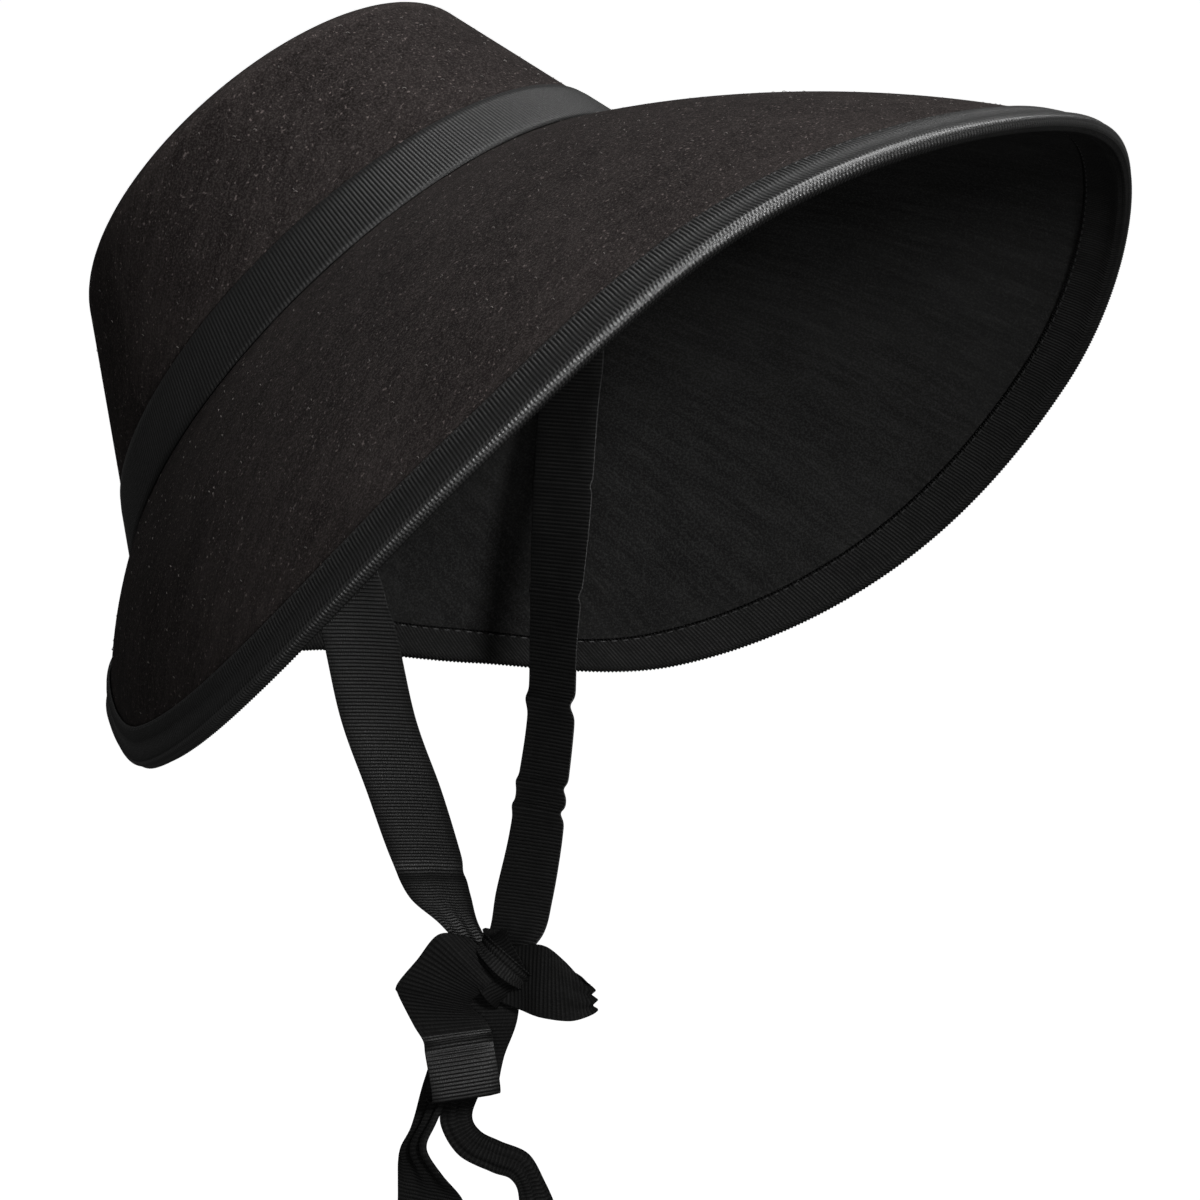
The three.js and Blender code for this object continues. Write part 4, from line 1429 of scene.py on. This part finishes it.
class BONNET_OT_build_ties(bpy.types.Operator):
    """Hang the two ties from the headline to the knot"""

    bl_idname = "bonnet.build_ties"
    bl_label = "Build ties"

    def execute(self, context):
        ribbon_piece("tie_ribbon_right", "tie_right", tie_stations(RIGHT_TIE, -1), context, "hung",
                     ["felt_brim"], FACE, creases=RIGHT_TIE_CREASES, phase=0.4, folds=0.04)
        ribbon_piece("tie_ribbon_left", "tie_left", tie_stations(LEFT_TIE, 1), context, "hung",
                     ["felt_brim"], FACE, creases=LEFT_TIE_CREASES, phase=1.2, curl=-0.2, folds=0.04)
        return {"FINISHED"}


class BONNET_OT_build_knot(bpy.types.Operator):
    """Wrap the straps of the knot round each other"""

    bl_idname = "bonnet.build_knot"
    bl_label = "Build knot"

    def execute(self, context):
        ribbon = context.scene.bonnet_ribbon
        cloth = Cloth()
        length = 0.0
        turns = np.linspace(0.0, 2 * math.pi, KNOT_STRAP_STEPS, endpoint=False)
        for lean, half_length, half_depth, half_width, shift, finish in KNOT_STRAPS:
            lean = math.radians(lean)
            level = half_length * np.cos(turns)
            line = bow_point(level * math.cos(lean), half_depth * np.sin(turns), level * math.sin(lean))
            sideways = bow_point([-math.sin(lean)], [0.0], [math.cos(lean)])
            line = line + shift * sideways
            pinch = 1 - KNOT_PINCH + KNOT_PINCH * np.sin(turns) ** 2
            halves = sideways * (half_width * pinch)[:, None]
            length += add_ribbon(cloth, line + KNOT_CENTRE, halves, ribbon, finish, curl=KNOT_CURL,
                                 folds=KNOT_FOLDS, closed=True)
        piece = rib_piece(cloth.make("knot_wrap", grosgrain_materials(ribbon)), ribbon)
        settle(piece, "knot")
        return {"FINISHED"}


class BONNET_OT_build_bow(bpy.types.Operator):
    """Draw out the two loops and the two tails of the bow"""

    bl_idname = "bonnet.build_bow"
    bl_label = "Build bow"

    def execute(self, context):
        # The loops and tails take the darker back finish as painted shade; the front loop's patch keeps
        # the face finish
        ribbon_piece("loop_ribbon_front", "bow_loop_front", bow_stations(FRONT_LOOP), context, "folded",
                     ["knot_wrap"], SHADED_BACK, patch=LOOP_FACE_SHARES, phase=0.6, curl=0.2, folds=0.02)
        ribbon_piece("loop_ribbon_right", "bow_loop_right", bow_stations(RIGHT_LOOP), context, "folded",
                     ["knot_wrap"], SHADED_BACK, phase=1.8, curl=0.4, folds=0.07)
        ribbon_piece("tail_ribbon_left", "tail_left", bow_stations(LEFT_TAIL), context, "hung",
                     ["knot_wrap"], SHADED_BACK, phase=0.2, curl=0.4, folds=0.085)
        ribbon_piece("tail_ribbon_right", "tail_right", bow_stations(RIGHT_TAIL), context, "hung",
                     ["knot_wrap"], SHADED_BACK, phase=2.2, curl=0.4, folds=0.11)
        return {"FINISHED"}


class BONNET_OT_build_lint(bpy.types.Operator):
    """Strew a little lint over the felt"""

    bl_idname = "bonnet.build_lint"
    bl_label = "Build lint"

    def execute(self, context):
        felt = context.scene.bonnet_felt
        angles = ring_angles(LINT_COLUMNS)
        reach = felt_reach(angles) - BINDING_LEG
        shares = np.linspace(0.0, 1.0, LINT_BRIM_ROWS)
        reaches = [LINT_MARGIN + share * (reach - LINT_MARGIN) for share in shares]
        brim = np.stack([brim_points(angles, place, LINT_LIFT) for place in reaches])
        bottom = BAND_WIDTH + LINT_BAND_MARGIN
        heights = np.linspace(bottom, CROWN_HEIGHT - TIP_EDGE_RADIUS, LINT_CROWN_ROWS)
        crown = np.stack([crown_points(angles, height, CROWN_INSET - LINT_LIFT) for height in heights])
        cloth = Cloth()
        for points in (brim, crown):
            uvs = np.zeros((points.shape[0], points.shape[1] + 1, 2))
            cloth.add_grid(points, uvs, False, True)
        material = thread_material("pale_lint", LINT_COLOR, LINT_ROUGHNESS)
        piece = cloth.make("felt_lint", [material])
        area = sum(polygon.area for polygon in piece.data.polygons)
        values = {
            "Density": felt.lint_count / area,
            "Seed": felt.lint_seed,
            "Fibre Length": LINT_LENGTH,
            "Fibre Radius": LINT_RADIUS,
            "Material": material,
        }
        run_tree(piece, lint_tree(), values)
        settle(piece, None)
        return {"FINISHED"}


class BONNET_PT_pieces(bpy.types.Panel):
    """The bonnet's settings and the buttons that build its pieces"""

    bl_idname = "BONNET_PT_pieces"
    bl_label = "Prairie bonnet"
    bl_space_type = "VIEW_3D"
    bl_region_type = "UI"
    bl_category = "Bonnet"

    def draw(self, context):
        layout = self.layout
        for name in SETTINGS:
            group = getattr(context.scene, name)
            box = layout.box()
            for key in group.__annotations__:
                box.prop(group, key)
        for operator in OPERATORS:
            layout.operator(operator.bl_idname)


SETTINGS = {
    "bonnet_felt": BonnetFelt,
    "bonnet_ribbon": BonnetRibbon,
    "bonnet_stage": BonnetStage,
}
OPERATORS = (
    BONNET_OT_build_stage,
    BONNET_OT_build_brim,
    BONNET_OT_build_crown,
    BONNET_OT_build_band,
    BONNET_OT_build_binding,
    BONNET_OT_build_ties,
    BONNET_OT_build_knot,
    BONNET_OT_build_bow,
    BONNET_OT_build_lint,
)


def register():
    """Adds the settings, the operators and the panel."""
    for name, group in SETTINGS.items():
        bpy.utils.register_class(group)
        setattr(bpy.types.Scene, name, bpy.props.PointerProperty(type=group))
    for operator in OPERATORS:
        bpy.utils.register_class(operator)
    bpy.utils.register_class(BONNET_PT_pieces)


def unregister():
    """Takes the panel, the operators and the settings away."""
    bpy.utils.unregister_class(BONNET_PT_pieces)
    for operator in reversed(OPERATORS):
        bpy.utils.unregister_class(operator)
    for name, group in reversed(SETTINGS.items()):
        delattr(bpy.types.Scene, name)
        bpy.utils.unregister_class(group)


def main():
    """Builds every piece in order."""
    register()
    bpy.ops.bonnet.build_stage()
    bpy.ops.bonnet.build_brim()
    bpy.ops.bonnet.build_crown()
    bpy.ops.bonnet.build_band()
    bpy.ops.bonnet.build_binding()
    bpy.ops.bonnet.build_ties()
    bpy.ops.bonnet.build_knot()
    bpy.ops.bonnet.build_bow()
    bpy.ops.bonnet.build_lint()


if __name__ == "__main__":
    main()
